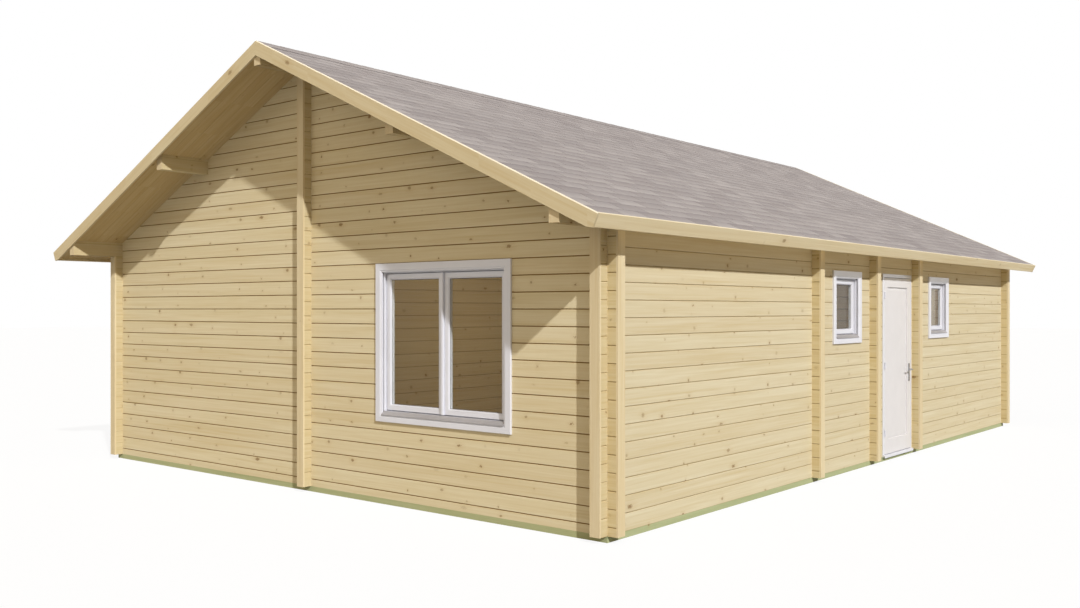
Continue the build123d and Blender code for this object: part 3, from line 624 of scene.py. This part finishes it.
# %% Shingle material
shingle_grit, graph, shader = new_material("shingle_grit", Specular_IOR_Level=0.25)
place = graph.add("TexCoord").outputs["Object"]
tab_tone = graph.add("Attribute", attribute_name="tone").outputs["Fac"]
grit, patch = graph.noise(place, 420.0, 2.0), graph.noise(place, 14.0, 4.0)
axis = graph.split(place)
below_ridge = graph.calc("SUBTRACT", axis["Z"], RIDGE)
downhill = graph.sloping("SUBTRACT", axis["X"], below_ridge, np.cos(PITCH), np.sin(PITCH))
rows = {"Position": downhill, "Pitch": SHINGLE_ROW, "Start": ROOF_RUN % SHINGLE_ROW}
# Painted light and shade within each row: painted shade under the row above, a painted highlight at the
# lower edge.
band = graph.fade(graph.add("Group", rows, node_tree=courses.tree).outputs["Within"], 0.12, 0.8)
lot = graph.calc("FRACT", graph.times(tab_tone, 7.13))
shadow_band = graph.times(graph.calc("SUBTRACT", 1.0, band), graph.fade(lot, 0, 1, 0.20, 0.04))
tab_color = graph.blend(tab_tone, srgb(155, 148, 148), srgb(172, 166, 166))
# The last two tints are the painted highlight and the painted shade.
for share, tint in ((graph.fade(patch, 0.35, 0.68, 0, 0.35), srgb(150, 148, 152)),
                    (graph.fade(grit, 0.3, 0.7, 0, 0.3), srgb(112, 106, 107)),
                    (graph.times(band, graph.times(lot, 0.24)), srgb(206, 200, 198)),
                    (shadow_band, srgb(104, 98, 100))):
    tab_color = graph.blend(share, tab_color, tint)
set_surface(graph, shader, tab_color, graph.fade(grit, 0.2, 0.8, 0.82, 0.98), grit, 0.5, 0.001)
make_piece("shingle_courses", shingle_solids, shingle_grit, "shingles",
           tones=np.concatenate(shingle_tones))

# %% [markdown]
# ## Boards along the roof's edges
# Barge boards follow the gables and eave boards close the roof's lower edges. Their edges are eased, and
# the barge board's wider upper one catches the light as a thin bright line, which a painted highlight on
# the faces that look up makes brighter. A section is a ring of corners, each with its lift off the roof and
# its depth into the board. The barge board's corners also say how far its foot is moved there, which cuts
# the foot nearly level.

# %% Barge boards
EDGE_BOARD = 0.020
BARGE_DROP, EAVE_DROP, ROOF_TOP = 0.041, 0.025, 0.083
FOOT_CUT = 0.060
ROOF_EDGE = ROOF_RUN + EDGE_BOARD
BARGE_EASE, EASE = 0.006, 0.002
RIDGE_LAP = 0.0009
BARGE_SECTION = np.array([(-BARGE_DROP, EDGE_BOARD, -FOOT_CUT), (-BARGE_DROP, EASE, -FOOT_CUT),
                          (EASE - BARGE_DROP, 0.0, EASE - FOOT_CUT), (-EAVE_DROP, 0.0, 0.0),
                          (ROOF_TOP - BARGE_EASE, 0.0, 0.0), (ROOF_TOP, BARGE_EASE, 0.0),
                          (ROOF_TOP, EDGE_BOARD, 0.0), (-EAVE_DROP, EDGE_BOARD, 0.0)])
barge_lift, barge_depth, foot_shift = BARGE_SECTION.T
barge_run = np.stack([ridge_run(barge_lift) - RIDGE_LAP, ROOF_EDGE + foot_shift])
BARGE_FACES = ((ROOF_FRONT - EDGE_BOARD, 1), (ROOF_BACK + EDGE_BOARD, -1))
barge_solids = [ring_solid(on_roof(side, barge_run, face + way * barge_depth, barge_lift))
                for side in (1, -1) for face, way in BARGE_FACES]
make_piece("barge_boards_eased", barge_solids, barge_wood, "barge_boards")

# %% Eave boards
EAVE_EASE = 0.006
eave_run = ROOF_EDGE - np.array([EDGE_BOARD, EAVE_EASE, 0, 0, EASE, EDGE_BOARD])
eave_lift = np.array([-EAVE_DROP, -EAVE_DROP, EAVE_EASE - EAVE_DROP, ROOF_TOP - EASE, ROOF_TOP, ROOF_TOP])
eave_solids = [ring_solid(on_roof(side, eave_run, ROOF_ENDS, eave_lift)) for side in (1, -1)]
make_piece("eave_boards_eased", eave_solids, eave_wood, "eave_boards")

# %% [markdown]
# ## Matched boards
# The roof boards that show from below, and the floor, are tongued boards with a small chamfer along each
# visible edge. One board is a six-cornered section run from end to end. On the roof they run down the
# slope, side by side along the building.

# %% Roof boards
CHAMFER = 0.002


def board_section(width, thick):
    """A board's section: flat on its back, chamfered along both edges of its face at zero height."""
    across = np.array([0.0, 0.0, CHAMFER, width - CHAMFER, width, width])
    height = np.array([thick, CHAMFER, 0.0, 0.0, CHAMFER, thick])
    return across, height


board_solids = []
for side in (1, -1):
    for start in np.arange(ROOF_FRONT, ROOF_BACK, ROOF_BOARD_PITCH):
        across, height = board_section(min(ROOF_BOARD_PITCH, ROOF_BACK - start), ROOF_BOARD)
        board_run = np.stack([ridge_run(height), np.full(6, ROOF_RUN)])
        board_solids.append(ring_solid(on_roof(side, board_run, start + across, height)))
make_piece("roof_boarding", board_solids, roof_board_wood, "roof_boards")

# %% [markdown]
# The middle purlins stop short of the barge boards. Their tops lie against the roof boards, so the section
# has its slope, and the two lower edges are eased like the other logs'.


# %% Middle purlins
def run_along(x, z, start, end):
    """A section of (x, z) corners run along the building from start to end."""
    x, y, z = np.broadcast_arrays(x, np.array([[start], [end]]), z)
    return ring_solid(np.stack([x, y, z], axis=-1))


PURLIN_OFFSET, PURLIN_SETBACK, LOG_EASE = 1.711, 0.040, 0.003
half = WALL / 2
across = PURLIN_OFFSET + np.array([-half, LOG_EASE - half, half - LOG_EASE, half, half, -half])
up = np.array([LOG_EASE, 0.0, 0.0, LOG_EASE, 0.0, 0.0]) + RIDGE - SLOPE * PURLIN_OFFSET - COURSE
up[4:] = RIDGE - SLOPE * across[4:]
purlin_solids = [run_along(side * across, up, ROOF_FRONT + PURLIN_SETBACK, ROOF_BACK - PURLIN_SETBACK)
                 for side in (1, -1)]
make_piece("purlins_eased", purlin_solids, side_log_wood, "middle_purlins")

# %% [markdown]
# The floor is laid room by room, with the boards along the building. The cross partitions' front faces
# are counted from the front gable.

# %% Floor boards
FLOOR = 0.028
CROSS_WALLS = (3.480, 4.948, 6.254)
room_starts = [FRONT + WALL] + [FRONT + y + WALL for y in CROSS_WALLS]
room_ends = [FRONT + y for y in CROSS_WALLS] + [BACK - WALL]
rooms = [(side, start, end) for side in (1, -1) for start, end in zip(room_starts, room_ends)]
inner, outer = WALL / 2, RIGHT - WALL
floor_solids = []
for side, start, end in rooms:
    for edge in np.arange(inner, outer, FLOOR_BOARD_PITCH):
        across, height = board_section(min(FLOOR_BOARD_PITCH, outer - edge), FLOOR)
        floor_solids.append(run_along(side * (edge + across), BASE + FLOOR - height, start, end))
make_piece("floor_boarding", floor_solids, floor_board_wood, "floor_boards")

# %% [markdown]
# ## Window casings, frames and sashes
# A window is a set of mitred rings, one inside the other: the casing over the logs, the fixed frame in
# the hole, and the sash that holds the glass. Each is a profile carried round a rectangle, which lists how
# far in from the ring's outer edge and how far out from the wall its points are. Where the lower bar is
# narrower or wider, the inset is scaled.

# %% A profile carried round a rectangle
TURNS = np.array([(-1, -1), (1, -1), (1, 1), (-1, 1)])


def mitred_ring(spot, middle, size, profile, foot=1.0):
    """Corner j of ring i is corner i of the rectangle, moved in by the inset of profile point j."""
    inset, out = np.array(profile).T
    up_inset = np.where(TURNS[:, 1] < 0, foot, 1.0)[:, None] * inset
    across = middle[0] + TURNS[:, :1] * (size[0] / 2 - inset)
    up = middle[1] + TURNS[:, 1:] * (size[1] / 2 - up_inset)
    return spot.solid(across, up, out, looped=True)


# %% Window sizes
HEAD = 2.077
LARGE_WINDOW, SMALL_WINDOW = (1.590, 1.397), (0.724, 0.766)
LARGE_ALONG, SMALL_ALONG = 1.765, (4.331, 7.170)
CASING, CASING_FOOT, CASING_LAP = 0.078, 0.060, 0.045
FRAME, FRAME_FOOT, FRAME_FRONT, FRAME_BACK = 0.047, 0.057, -0.012, -0.082
SASH, SASH_FRONT, SASH_BACK = 0.052, -0.034, -0.084
MULLION = 0.024
FRAME_EASE, REBATE, REBATE_BACK = 0.0025, 0.006, -0.070
FOOT_RISE = (FRAME_FOOT - FRAME) / 2
places = [(wall, LARGE_ALONG, LARGE_WINDOW, 2) for wall in ("front", "back")]
places += [(wall, along, SMALL_WINDOW, 1) for wall in ("right", "left") for along in SMALL_ALONG]
windows = [(wall_spot(wall, along, BASE + HEAD - size[1] / 2), size,
            (size[0] - 2 * CASING_LAP, size[1] - 2 * CASING_LAP), sashes)
           for wall, along, size, sashes in places]
print("windows:", len(windows))

# %% Casings
CASING_PROFILE = [(0, 0), (0, 0.017), (0.003, 0.020), (0.058, 0.020), (0.061, 0.0185), (0.063, 0.0155),
                  (0.073, 0.0135), (0.077, 0.011), (CASING, 0.008), (CASING, 0)]
casings = [mitred_ring(spot, (0, 0), size, CASING_PROFILE, CASING_FOOT / CASING)
           for spot, size, hole, sashes in windows]
make_piece("window_casing", casings, white_paint, "window_casings")

# %% [markdown]
# The frame has a rebate that the sash closes against, and a wide window has a mullion between its two
# sashes: a straight bar whose two front edges are chamfered.

# %% Frames
FRAME_PROFILE = [(0, FRAME_BACK), (0, FRAME_FRONT), (FRAME - REBATE - FRAME_EASE, FRAME_FRONT),
                 (FRAME - REBATE, FRAME_FRONT - FRAME_EASE), (FRAME - REBATE, REBATE_BACK),
                 (FRAME, REBATE_BACK), (FRAME, FRAME_BACK)]
half = MULLION / 2
chamfer = FRAME_FRONT - EASE
mullion_across = np.array([-half, -half, EASE - half, half - EASE, half, half])
mullion_out = np.array([FRAME_BACK, chamfer, FRAME_FRONT, FRAME_FRONT, chamfer, FRAME_BACK])
frames = []
for spot, size, hole, sashes in windows:
    frames.append(mitred_ring(spot, (0, 0), hole, FRAME_PROFILE, FRAME_FOOT / FRAME))
    if sashes == 2:
        inner = hole[1] - FRAME - FRAME_FOOT
        mullion_up = FOOT_RISE + np.array([[-inner / 2], [inner / 2]])
        frames.append(spot.solid(mullion_across, mullion_up, mullion_out))
make_piece("window_frame", frames, white_paint, "window_frames")

# %% Sashes with their glazing beads
SASH_PROFILE = [(0, SASH_BACK), (0, SASH_FRONT - 0.003), (0.003, SASH_FRONT), (0.037, SASH_FRONT),
                (0.038, SASH_FRONT - 0.0015), (0.0395, SASH_FRONT - 0.0015), (0.0405, SASH_FRONT),
                (0.046, SASH_FRONT - 0.004), (SASH, SASH_FRONT - 0.015), (SASH, SASH_BACK)]
SASH_PLAY = 0.002
SEAL_LAP, SEAL_WIDTH, SEAL_BACK, SEAL_FRONT = 0.004, 0.006, -0.0495, -0.0485
SEAL_PROFILE = [(0, SEAL_BACK), (0, SEAL_FRONT), (SEAL_WIDTH, SEAL_FRONT), (SEAL_WIDTH, SEAL_BACK)]
sashes_made, seals = [], []
for spot, size, hole, sashes in windows:
    width = (hole[0] - 2 * FRAME - (sashes - 1) * MULLION) / sashes
    height = hole[1] - FRAME - FRAME_FOOT
    for number in range(sashes):
        middle = ((number - (sashes - 1) / 2) * (width + MULLION), FOOT_RISE)
        sashes_made.append(mitred_ring(spot, middle, (width - SASH_PLAY, height - SASH_PLAY), SASH_PROFILE))
        seal = (width - 2 * SASH + SEAL_LAP, height - 2 * SASH + SEAL_LAP)
        seals.append(mitred_ring(spot, middle, seal, SEAL_PROFILE))
make_piece("window_sash", sashes_made, white_paint, "window_sashes")
make_piece("glass_seal", seals, rubber_seal)

# %% [markdown]
# ## Sills
# Under each sash a coated sheet slopes outwards over the casing's foot, with a folded nose to shed water.
# It is one section run across the opening.

# %% Sills
SILL_RISE = FRAME_FOOT * (1 - REBATE / FRAME) + CASING_LAP - CASING_FOOT
SILL_NOSE, SILL_FOLD = 0.024, 0.002
SILL_SECTION = [(-0.012, 0.0), (-0.012, SILL_RISE), (-0.009, SILL_RISE), (0.016, 0.0105),
                (SILL_NOSE - SILL_FOLD, 0.0065), (SILL_NOSE, 0.0045), (SILL_NOSE, 0.0),
                (SILL_NOSE - SILL_FOLD, 0.0)]
sills = [spot.bar(size[0] - 2 * CASING, SILL_SECTION, CASING_FOOT - size[1] / 2)
         for spot, size, hole, sashes in windows]
make_piece("window_sill", sills, sill_coat, "window_sills")

# %% [markdown]
# ## The door
# The lining is one profile carried up one side, over the head and down the other, open at the floor.
# The leaf is a stack of rectangles instead: from the back panel out through its moulding, round the edge
# of the leaf, and in again to the front panel.

# %% Door sizes
DOOR_WIDTH, DOOR_CLEAR = 0.890, 0.047
DOOR_ALONG = CROSS_WALLS[2] - DOOR_CLEAR - DOOR_WIDTH / 2
DOOR_FRAME, DOOR_LAP, DOOR_FACE = 0.040, 0.015, 0.010
THRESHOLD = 0.020
LEAF_GAP, LEAF = 0.005, 0.056
LEAF_LOW, LEAF_HIGH = THRESHOLD + LEAF_GAP, HEAD - DOOR_FRAME - LEAF_GAP
LEAF_WIDTH = DOOR_WIDTH - 2 * DOOR_FRAME - 2 * LEAF_GAP
LEAF_BACK = DOOR_FACE - LEAF
door_spot = wall_spot("right", DOOR_ALONG, BASE)
print("door leaf:", round(LEAF_WIDTH, 3), "by", round(LEAF_HIGH - LEAF_LOW, 3))

# %% Lining
LOG_GAP = 0.0005
LINING = [(0, LOG_GAP), (0, DOOR_FACE - EASE), (EASE, DOOR_FACE), (DOOR_FRAME - EASE, DOOR_FACE),
          (DOOR_FRAME, DOOR_FACE - EASE), (DOOR_FRAME, EASE - WALL), (DOOR_FRAME - EASE, -WALL),
          (DOOR_LAP, -WALL), (DOOR_LAP, LOG_GAP)]
inset, out = np.array(LINING).T
half = DOOR_WIDTH / 2
across = np.stack([inset - half, inset - half, half - inset, half - inset])
up = np.stack([0 * inset, HEAD - inset, HEAD - inset, 0 * inset])
make_piece("door_lining", [door_spot.solid(across, up, out)], white_paint, "door_frame")

# %% [markdown]
# The threshold fills the opening between the door stops. In front of it a nose as wide as the lining drops
# over the treated bearer and keeps water off it. Both are sections run across the doorway.

# %% Threshold
DOOR_STOP, HAIRLINE = 0.016, 0.0006
BODY_WIDTH = DOOR_WIDTH - 2 * (DOOR_FRAME + DOOR_STOP + HAIRLINE)
NOSE_OUT, NOSE_DROP, NOSE_TOP = 0.033, 0.012, 0.016
BODY_SECTION = [(-WALL, 0.0), (DOOR_FACE, 0.0), (DOOR_FACE, THRESHOLD), (EASE - WALL, THRESHOLD),
                (-WALL, THRESHOLD - EASE)]
NOSE_SECTION = [(DOOR_FACE, 0.0), (NOSE_OUT - 0.004, 0.0), (NOSE_OUT - 0.003, -NOSE_DROP),
                (NOSE_OUT, -NOSE_DROP), (NOSE_OUT, NOSE_TOP - EASE), (NOSE_OUT - EASE, NOSE_TOP),
                (DOOR_FACE, THRESHOLD)]
threshold_solids = [door_spot.bar(BODY_WIDTH, BODY_SECTION), door_spot.bar(DOOR_WIDTH, NOSE_SECTION)]
make_piece("threshold_nosed", threshold_solids, white_paint, "door_threshold")

# %% Leaf
PANEL_SIDE, PANEL_HEAD, PANEL_FOOT = 0.092, 0.106, 0.162
MOULDING = [(0.050, 0.013), (0.034, 0.013), (0.004, 0.018), (0.002, 0.017), (0.001, 0.001), (0, 0)]

leaf_rings = [(1, inset, LEAF_BACK + depth) for inset, depth in MOULDING]
leaf_rings += [(0, EASE, LEAF_BACK), (0, 0, LEAF_BACK + EASE), (0, 0, DOOR_FACE - EASE),
               (0, EASE, DOOR_FACE)]
leaf_rings += [(1, inset, DOOR_FACE - depth) for inset, depth in MOULDING[::-1]]
share, inset, level = np.array(leaf_rings).T[:, :, None]
across = TURNS[:, 0] * (LEAF_WIDTH / 2 - share * PANEL_SIDE - inset)
up = np.where(TURNS[:, 1] < 0, LEAF_LOW + share * PANEL_FOOT + inset, LEAF_HIGH - share * PANEL_HEAD - inset)
leaf = door_spot.solid(across, up, level)
make_piece("door_leaf_panelled", [leaf], door_paint, "door_leaf", "door")

# %% [markdown]
# ## Door furniture
# The lever is a round bar that leaves the plate, turns through a smooth elbow and runs along the door. A
# circle is carried along that path, always square to it. The outside and inside levers share one
# spindle, and both turn together.

# %% Where the furniture sits
BACKSET, HANDLE_UP = 0.045, 0.960
DOOR_SIDES = ((DOOR_FACE, 1), (LEAF_BACK, -1))


def handle_spot(up):
    """A spot on the leaf's upright line of handle, lock and screws, counted from the lever's middle."""
    return wall_spot("right", DOOR_ALONG + LEAF_WIDTH / 2 - BACKSET, BASE + HANDLE_UP + up)


def proud(side, steps):
    """Pairs of a size and a height off the leaf, as pairs of the size and its place on one side of it."""
    face, way = side
    return [(size, face + way * height) for size, height in steps]


# %% Round bars along a flat path
ROUND = np.linspace(0, 2 * np.pi, 24, endpoint=False)


def round_bar(spot, path, radii):
    """Carry a circle along a path given as (across, out) at one height, with a radius at each point."""
    path = np.array(path)
    direction = np.gradient(path, axis=0)
    direction /= np.linalg.norm(direction, axis=1)[:, None]
    beside = np.stack([direction[:, 1], -direction[:, 0]], axis=-1)
    radii = np.array(radii)[:, None]
    across = path[:, :1] + radii * np.cos(ROUND) * beside[:, :1]
    out = path[:, 1:] + radii * np.cos(ROUND) * beside[:, 1:]
    return spot.solid(across, radii * np.sin(ROUND), out)


def turned(spot, profile):
    """Turn a profile of (radius, out) about the spot's outward line."""
    radius, out = np.array(profile).T[:, :, None]
    return spot.solid(radius * np.cos(ROUND), radius * np.sin(ROUND), out)


# %% Levers
LEVER, LEVER_REACH, BEND_R = 0.118, 0.048, 0.014
STEM_R, GRIP_R = 0.009, 0.0088
GRIP = [(0.04, GRIP_R), (0.07, 0.0086), (0.10, 0.0084), (LEVER, 0.0084), (LEVER + 0.0075, 0.006),
        (LEVER + 0.009, 0.002)]
bend = np.linspace(0, np.pi / 2, 9)
lever_path = [(0, 0.001), (0, 0.012)]
lever_path += [(-BEND_R * (1 - np.cos(turn)), LEVER_REACH - BEND_R + BEND_R * np.sin(turn)) for turn in bend]
lever_path += [(-along, LEVER_REACH) for along, radius in GRIP]
radii = [STEM_R] * 2 + [GRIP_R] * len(bend) + [radius for along, radius in GRIP]
lever_solids = [round_bar(handle_spot(0.0), proud(side, lever_path), radii) for side in DOOR_SIDES]
make_piece("door_lever_bars", lever_solids, steel, "door_lever", "lever", smooth=True)

# %% [markdown]
# Each plate is a rounded rectangle with a softened rim: the same outline at a few insets and levels. A
# profile cylinder sits below the lever, and three countersunk screws hold the plate.

# %% Handle plates
PLATE_WIDTH, PLATE_HEIGHT, PLATE_THICK, PLATE_CORNER = 0.032, 0.210, 0.007, 0.006
PLATE_UP, LOCK_UP, SCREW_UPS = -0.035, -0.072, (0.062, -0.098, -0.128)
RIM = [(0, 0.0), (0, 0.005), (0.0006, 0.0062), (0.002, PLATE_THICK)]
BARREL = [(0.0085, PLATE_THICK), (0.0085, 0.0105), (0.0078, 0.0112)]
SCREW = [(0.0036, PLATE_THICK), (0.0036, 0.0074), (0.0026, 0.0079)]
CORNER_POINTS = 6
quarter = np.linspace(0, np.pi / 2, CORNER_POINTS)
corner_turn = np.concatenate([quarter + turn * np.pi / 2 for turn in range(4)])
corner_side = np.repeat(np.array([(1, 1), (-1, 1), (-1, -1), (1, -1)]), CORNER_POINTS, axis=0)


def rounded_plate(spot, profile):
    """The plate's outline at several (inset, out) steps."""
    inset, out = np.array(profile).T[:, :, None]
    corner = PLATE_CORNER - inset
    across = corner_side[:, 0] * (PLATE_WIDTH / 2 - PLATE_CORNER) + corner * np.cos(corner_turn)
    up = corner_side[:, 1] * (PLATE_HEIGHT / 2 - PLATE_CORNER) + corner * np.sin(corner_turn)
    return spot.solid(across, up, out)


plate_solids = []
for side in DOOR_SIDES:
    plate_solids.append(rounded_plate(handle_spot(PLATE_UP), proud(side, RIM)))
    plate_solids.append(turned(handle_spot(LOCK_UP), proud(side, BARREL)))
    plate_solids += [turned(handle_spot(up), proud(side, SCREW)) for up in SCREW_UPS]
make_piece("door_handle_plate", plate_solids, steel, "door_handle_plates", "door")

# %% [markdown]
# ## Floor and backdrop
# The camera sees the floor almost white, with only a trace of the building's shadow, and pure white
# beyond it, while the building is lit by the floor's true pale colour. Light Path tells the shader which
# kind of ray is asking.


# %% Floor
def seen_directly(graph, path):
    """1 for a ray from the camera, or one that was mirrored or let through; 0 for a ray that lights."""
    bent = graph.calc("MAXIMUM", path["Is Glossy Ray"], path["Is Transmission Ray"])
    return graph.calc("MAXIMUM", path["Is Camera Ray"], bent)


WHITE = (1, 1, 1, 1)
FLOOR_REACH, FLOOR_LEVEL, FLOOR_GLOW = 90.0, -0.002, 0.90
floor_mesh = bpy.data.meshes.new("studio_floor")
floor_corners = [(x * FLOOR_REACH, y * FLOOR_REACH, FLOOR_LEVEL) for x, y in TURNS.tolist()]
floor_mesh.from_pydata(floor_corners, [], [(0, 1, 2, 3)])
floor = bpy.data.objects.new("studio_floor", floor_mesh)
scene.collection.objects.link(floor)
floor_paint, graph, shader = new_material("studio_floor", Roughness=0.9, Specular_IOR_Level=0.2)
path = graph.add("LightPath").outputs
graph.feed(shader.inputs, {"Base Color": graph.blend(path["Is Camera Ray"], srgb(166, 166, 166), WHITE)})
mix_surface(graph, shader, graph.times(seen_directly(graph, path), FLOOR_GLOW),
            graph.add("Emission", {"Color": WHITE, "Strength": 1.0}))
floor_mesh.materials.append(floor_paint)
print("floor:", 2 * FLOOR_REACH, "square")

# %% [markdown]
# ## Rooms
# Rooms behind small windows stay nearly black in full daylight, so each one gets a soft warm lamp in its
# middle, weak enough not to show as a bright spot.


# %% Lamps in the rooms
def new_lamp(name, kind, energy, color, **settings):
    """A lamp in the scene, with the settings of its kind."""
    data = bpy.data.lights.new(name, kind)
    data.energy, data.color = energy, color
    for label, setting in settings.items():
        setattr(data, label, setting)
    lamp = bpy.data.objects.new(name, data)
    scene.collection.objects.link(lamp)
    return lamp


LAMP_UP, LAMP_SOFTNESS, LAMP_PER_AREA, LAMP_COLOR = 1.75, 0.35, 1.85, (1.0, 0.77, 0.43)
for side, start, end in rooms:
    energy = LAMP_PER_AREA * (end - start) * (RIGHT - 1.5 * WALL)
    lamp = new_lamp("room_lamp", "POINT", energy, LAMP_COLOR, shadow_soft_size=LAMP_SOFTNESS)
    lamp.location = (side * (RIGHT - WALL / 2) / 2, (start + end) / 2, BASE + LAMP_UP)
print("room lamps:", len(bpy.data.lights))

# %% [markdown]
# Under the eaves light comes back and forth between roof boards and logs, and turns warmer each time. A
# renderer gives up after a few turns, so a long faint lamp behind each eave board adds what is missing.

# %% Lamps under the eaves
EAVE_LAMP, EAVE_COLOR, EAVE_LAMP_WIDTH = 2.3, (1.0, 0.77, 0.40), 0.05
EAVE_LAMP_IN, EAVE_LAMP_DOWN = 0.04, 0.03
for side in (1, -1):
    lamp = new_lamp("eave_lamp", "AREA", EAVE_LAMP, EAVE_COLOR, shape="RECTANGLE", size=EAVE_LAMP_WIDTH,
                    size_y=BACK - FRONT)
    lamp.location = on_roof(side, ROOF_RUN - EAVE_LAMP_IN, (FRONT + BACK) / 2, -EAVE_LAMP_DOWN)
    lamp.rotation_euler = (0, side * np.pi / 2, 0)
    lamp.visible_camera = lamp.visible_glossy = lamp.visible_transmission = False
print("lamps:", len(bpy.data.lights))

# %% [markdown]
# ## Light
# One sun, high on the right and a little to the front, draws the shadows of the roof's edge. The rest is
# an even soft sky, stronger from the front than from the right, as from a large soft box.

# %% Sky and sun
SKY_COLOR = (0.78, 0.64, 0.455, 1)
FRONT_SKY, RIGHT_SKY, REAR_SKY = 1.08, 0.2, 0.5
SUN_FROM, SUN_STRENGTH, SUN_ANGLE = Vector((1.19, -0.588, 0.91)), 3.35, 0.02
scene.view_settings.view_transform = "Standard"
world = bpy.data.worlds.new("studio")
scene.world = world
world.use_nodes = True
graph = Graph(world.node_tree)
toward = graph.split(graph.add("TexCoord").outputs["Generated"])
front_part = graph.calc("MAXIMUM", graph.times(toward["Y"], -FRONT_SKY), 0.0)
right_part = graph.times(graph.calc("MAXIMUM", toward["X"], 0.0), RIGHT_SKY)
rear_part = graph.calc("MAXIMUM", toward["Y"], graph.times(toward["X"], -1.0))
rear_part = graph.times(graph.calc("MAXIMUM", rear_part, 0.0), REAR_SKY)
sky = graph.calc("ADD", graph.calc("ADD", front_part, right_part), rear_part)
seen = seen_directly(graph, graph.add("LightPath").outputs)
strength = graph.add("Mix", {0: seen, 2: sky, 3: 1.0}, data_type="FLOAT").outputs[0]
graph.feed(world.node_tree.nodes["Background"].inputs,
           {"Color": graph.blend(seen, SKY_COLOR, WHITE), "Strength": strength})
sun = new_lamp("sun", "SUN", SUN_STRENGTH, (1.0, 1.0, 1.0), angle=SUN_ANGLE)
sun.rotation_euler = SUN_FROM.to_track_quat("Z", "Y").to_euler()
print("sun from", [round(part, 2) for part in SUN_FROM.normalized()])
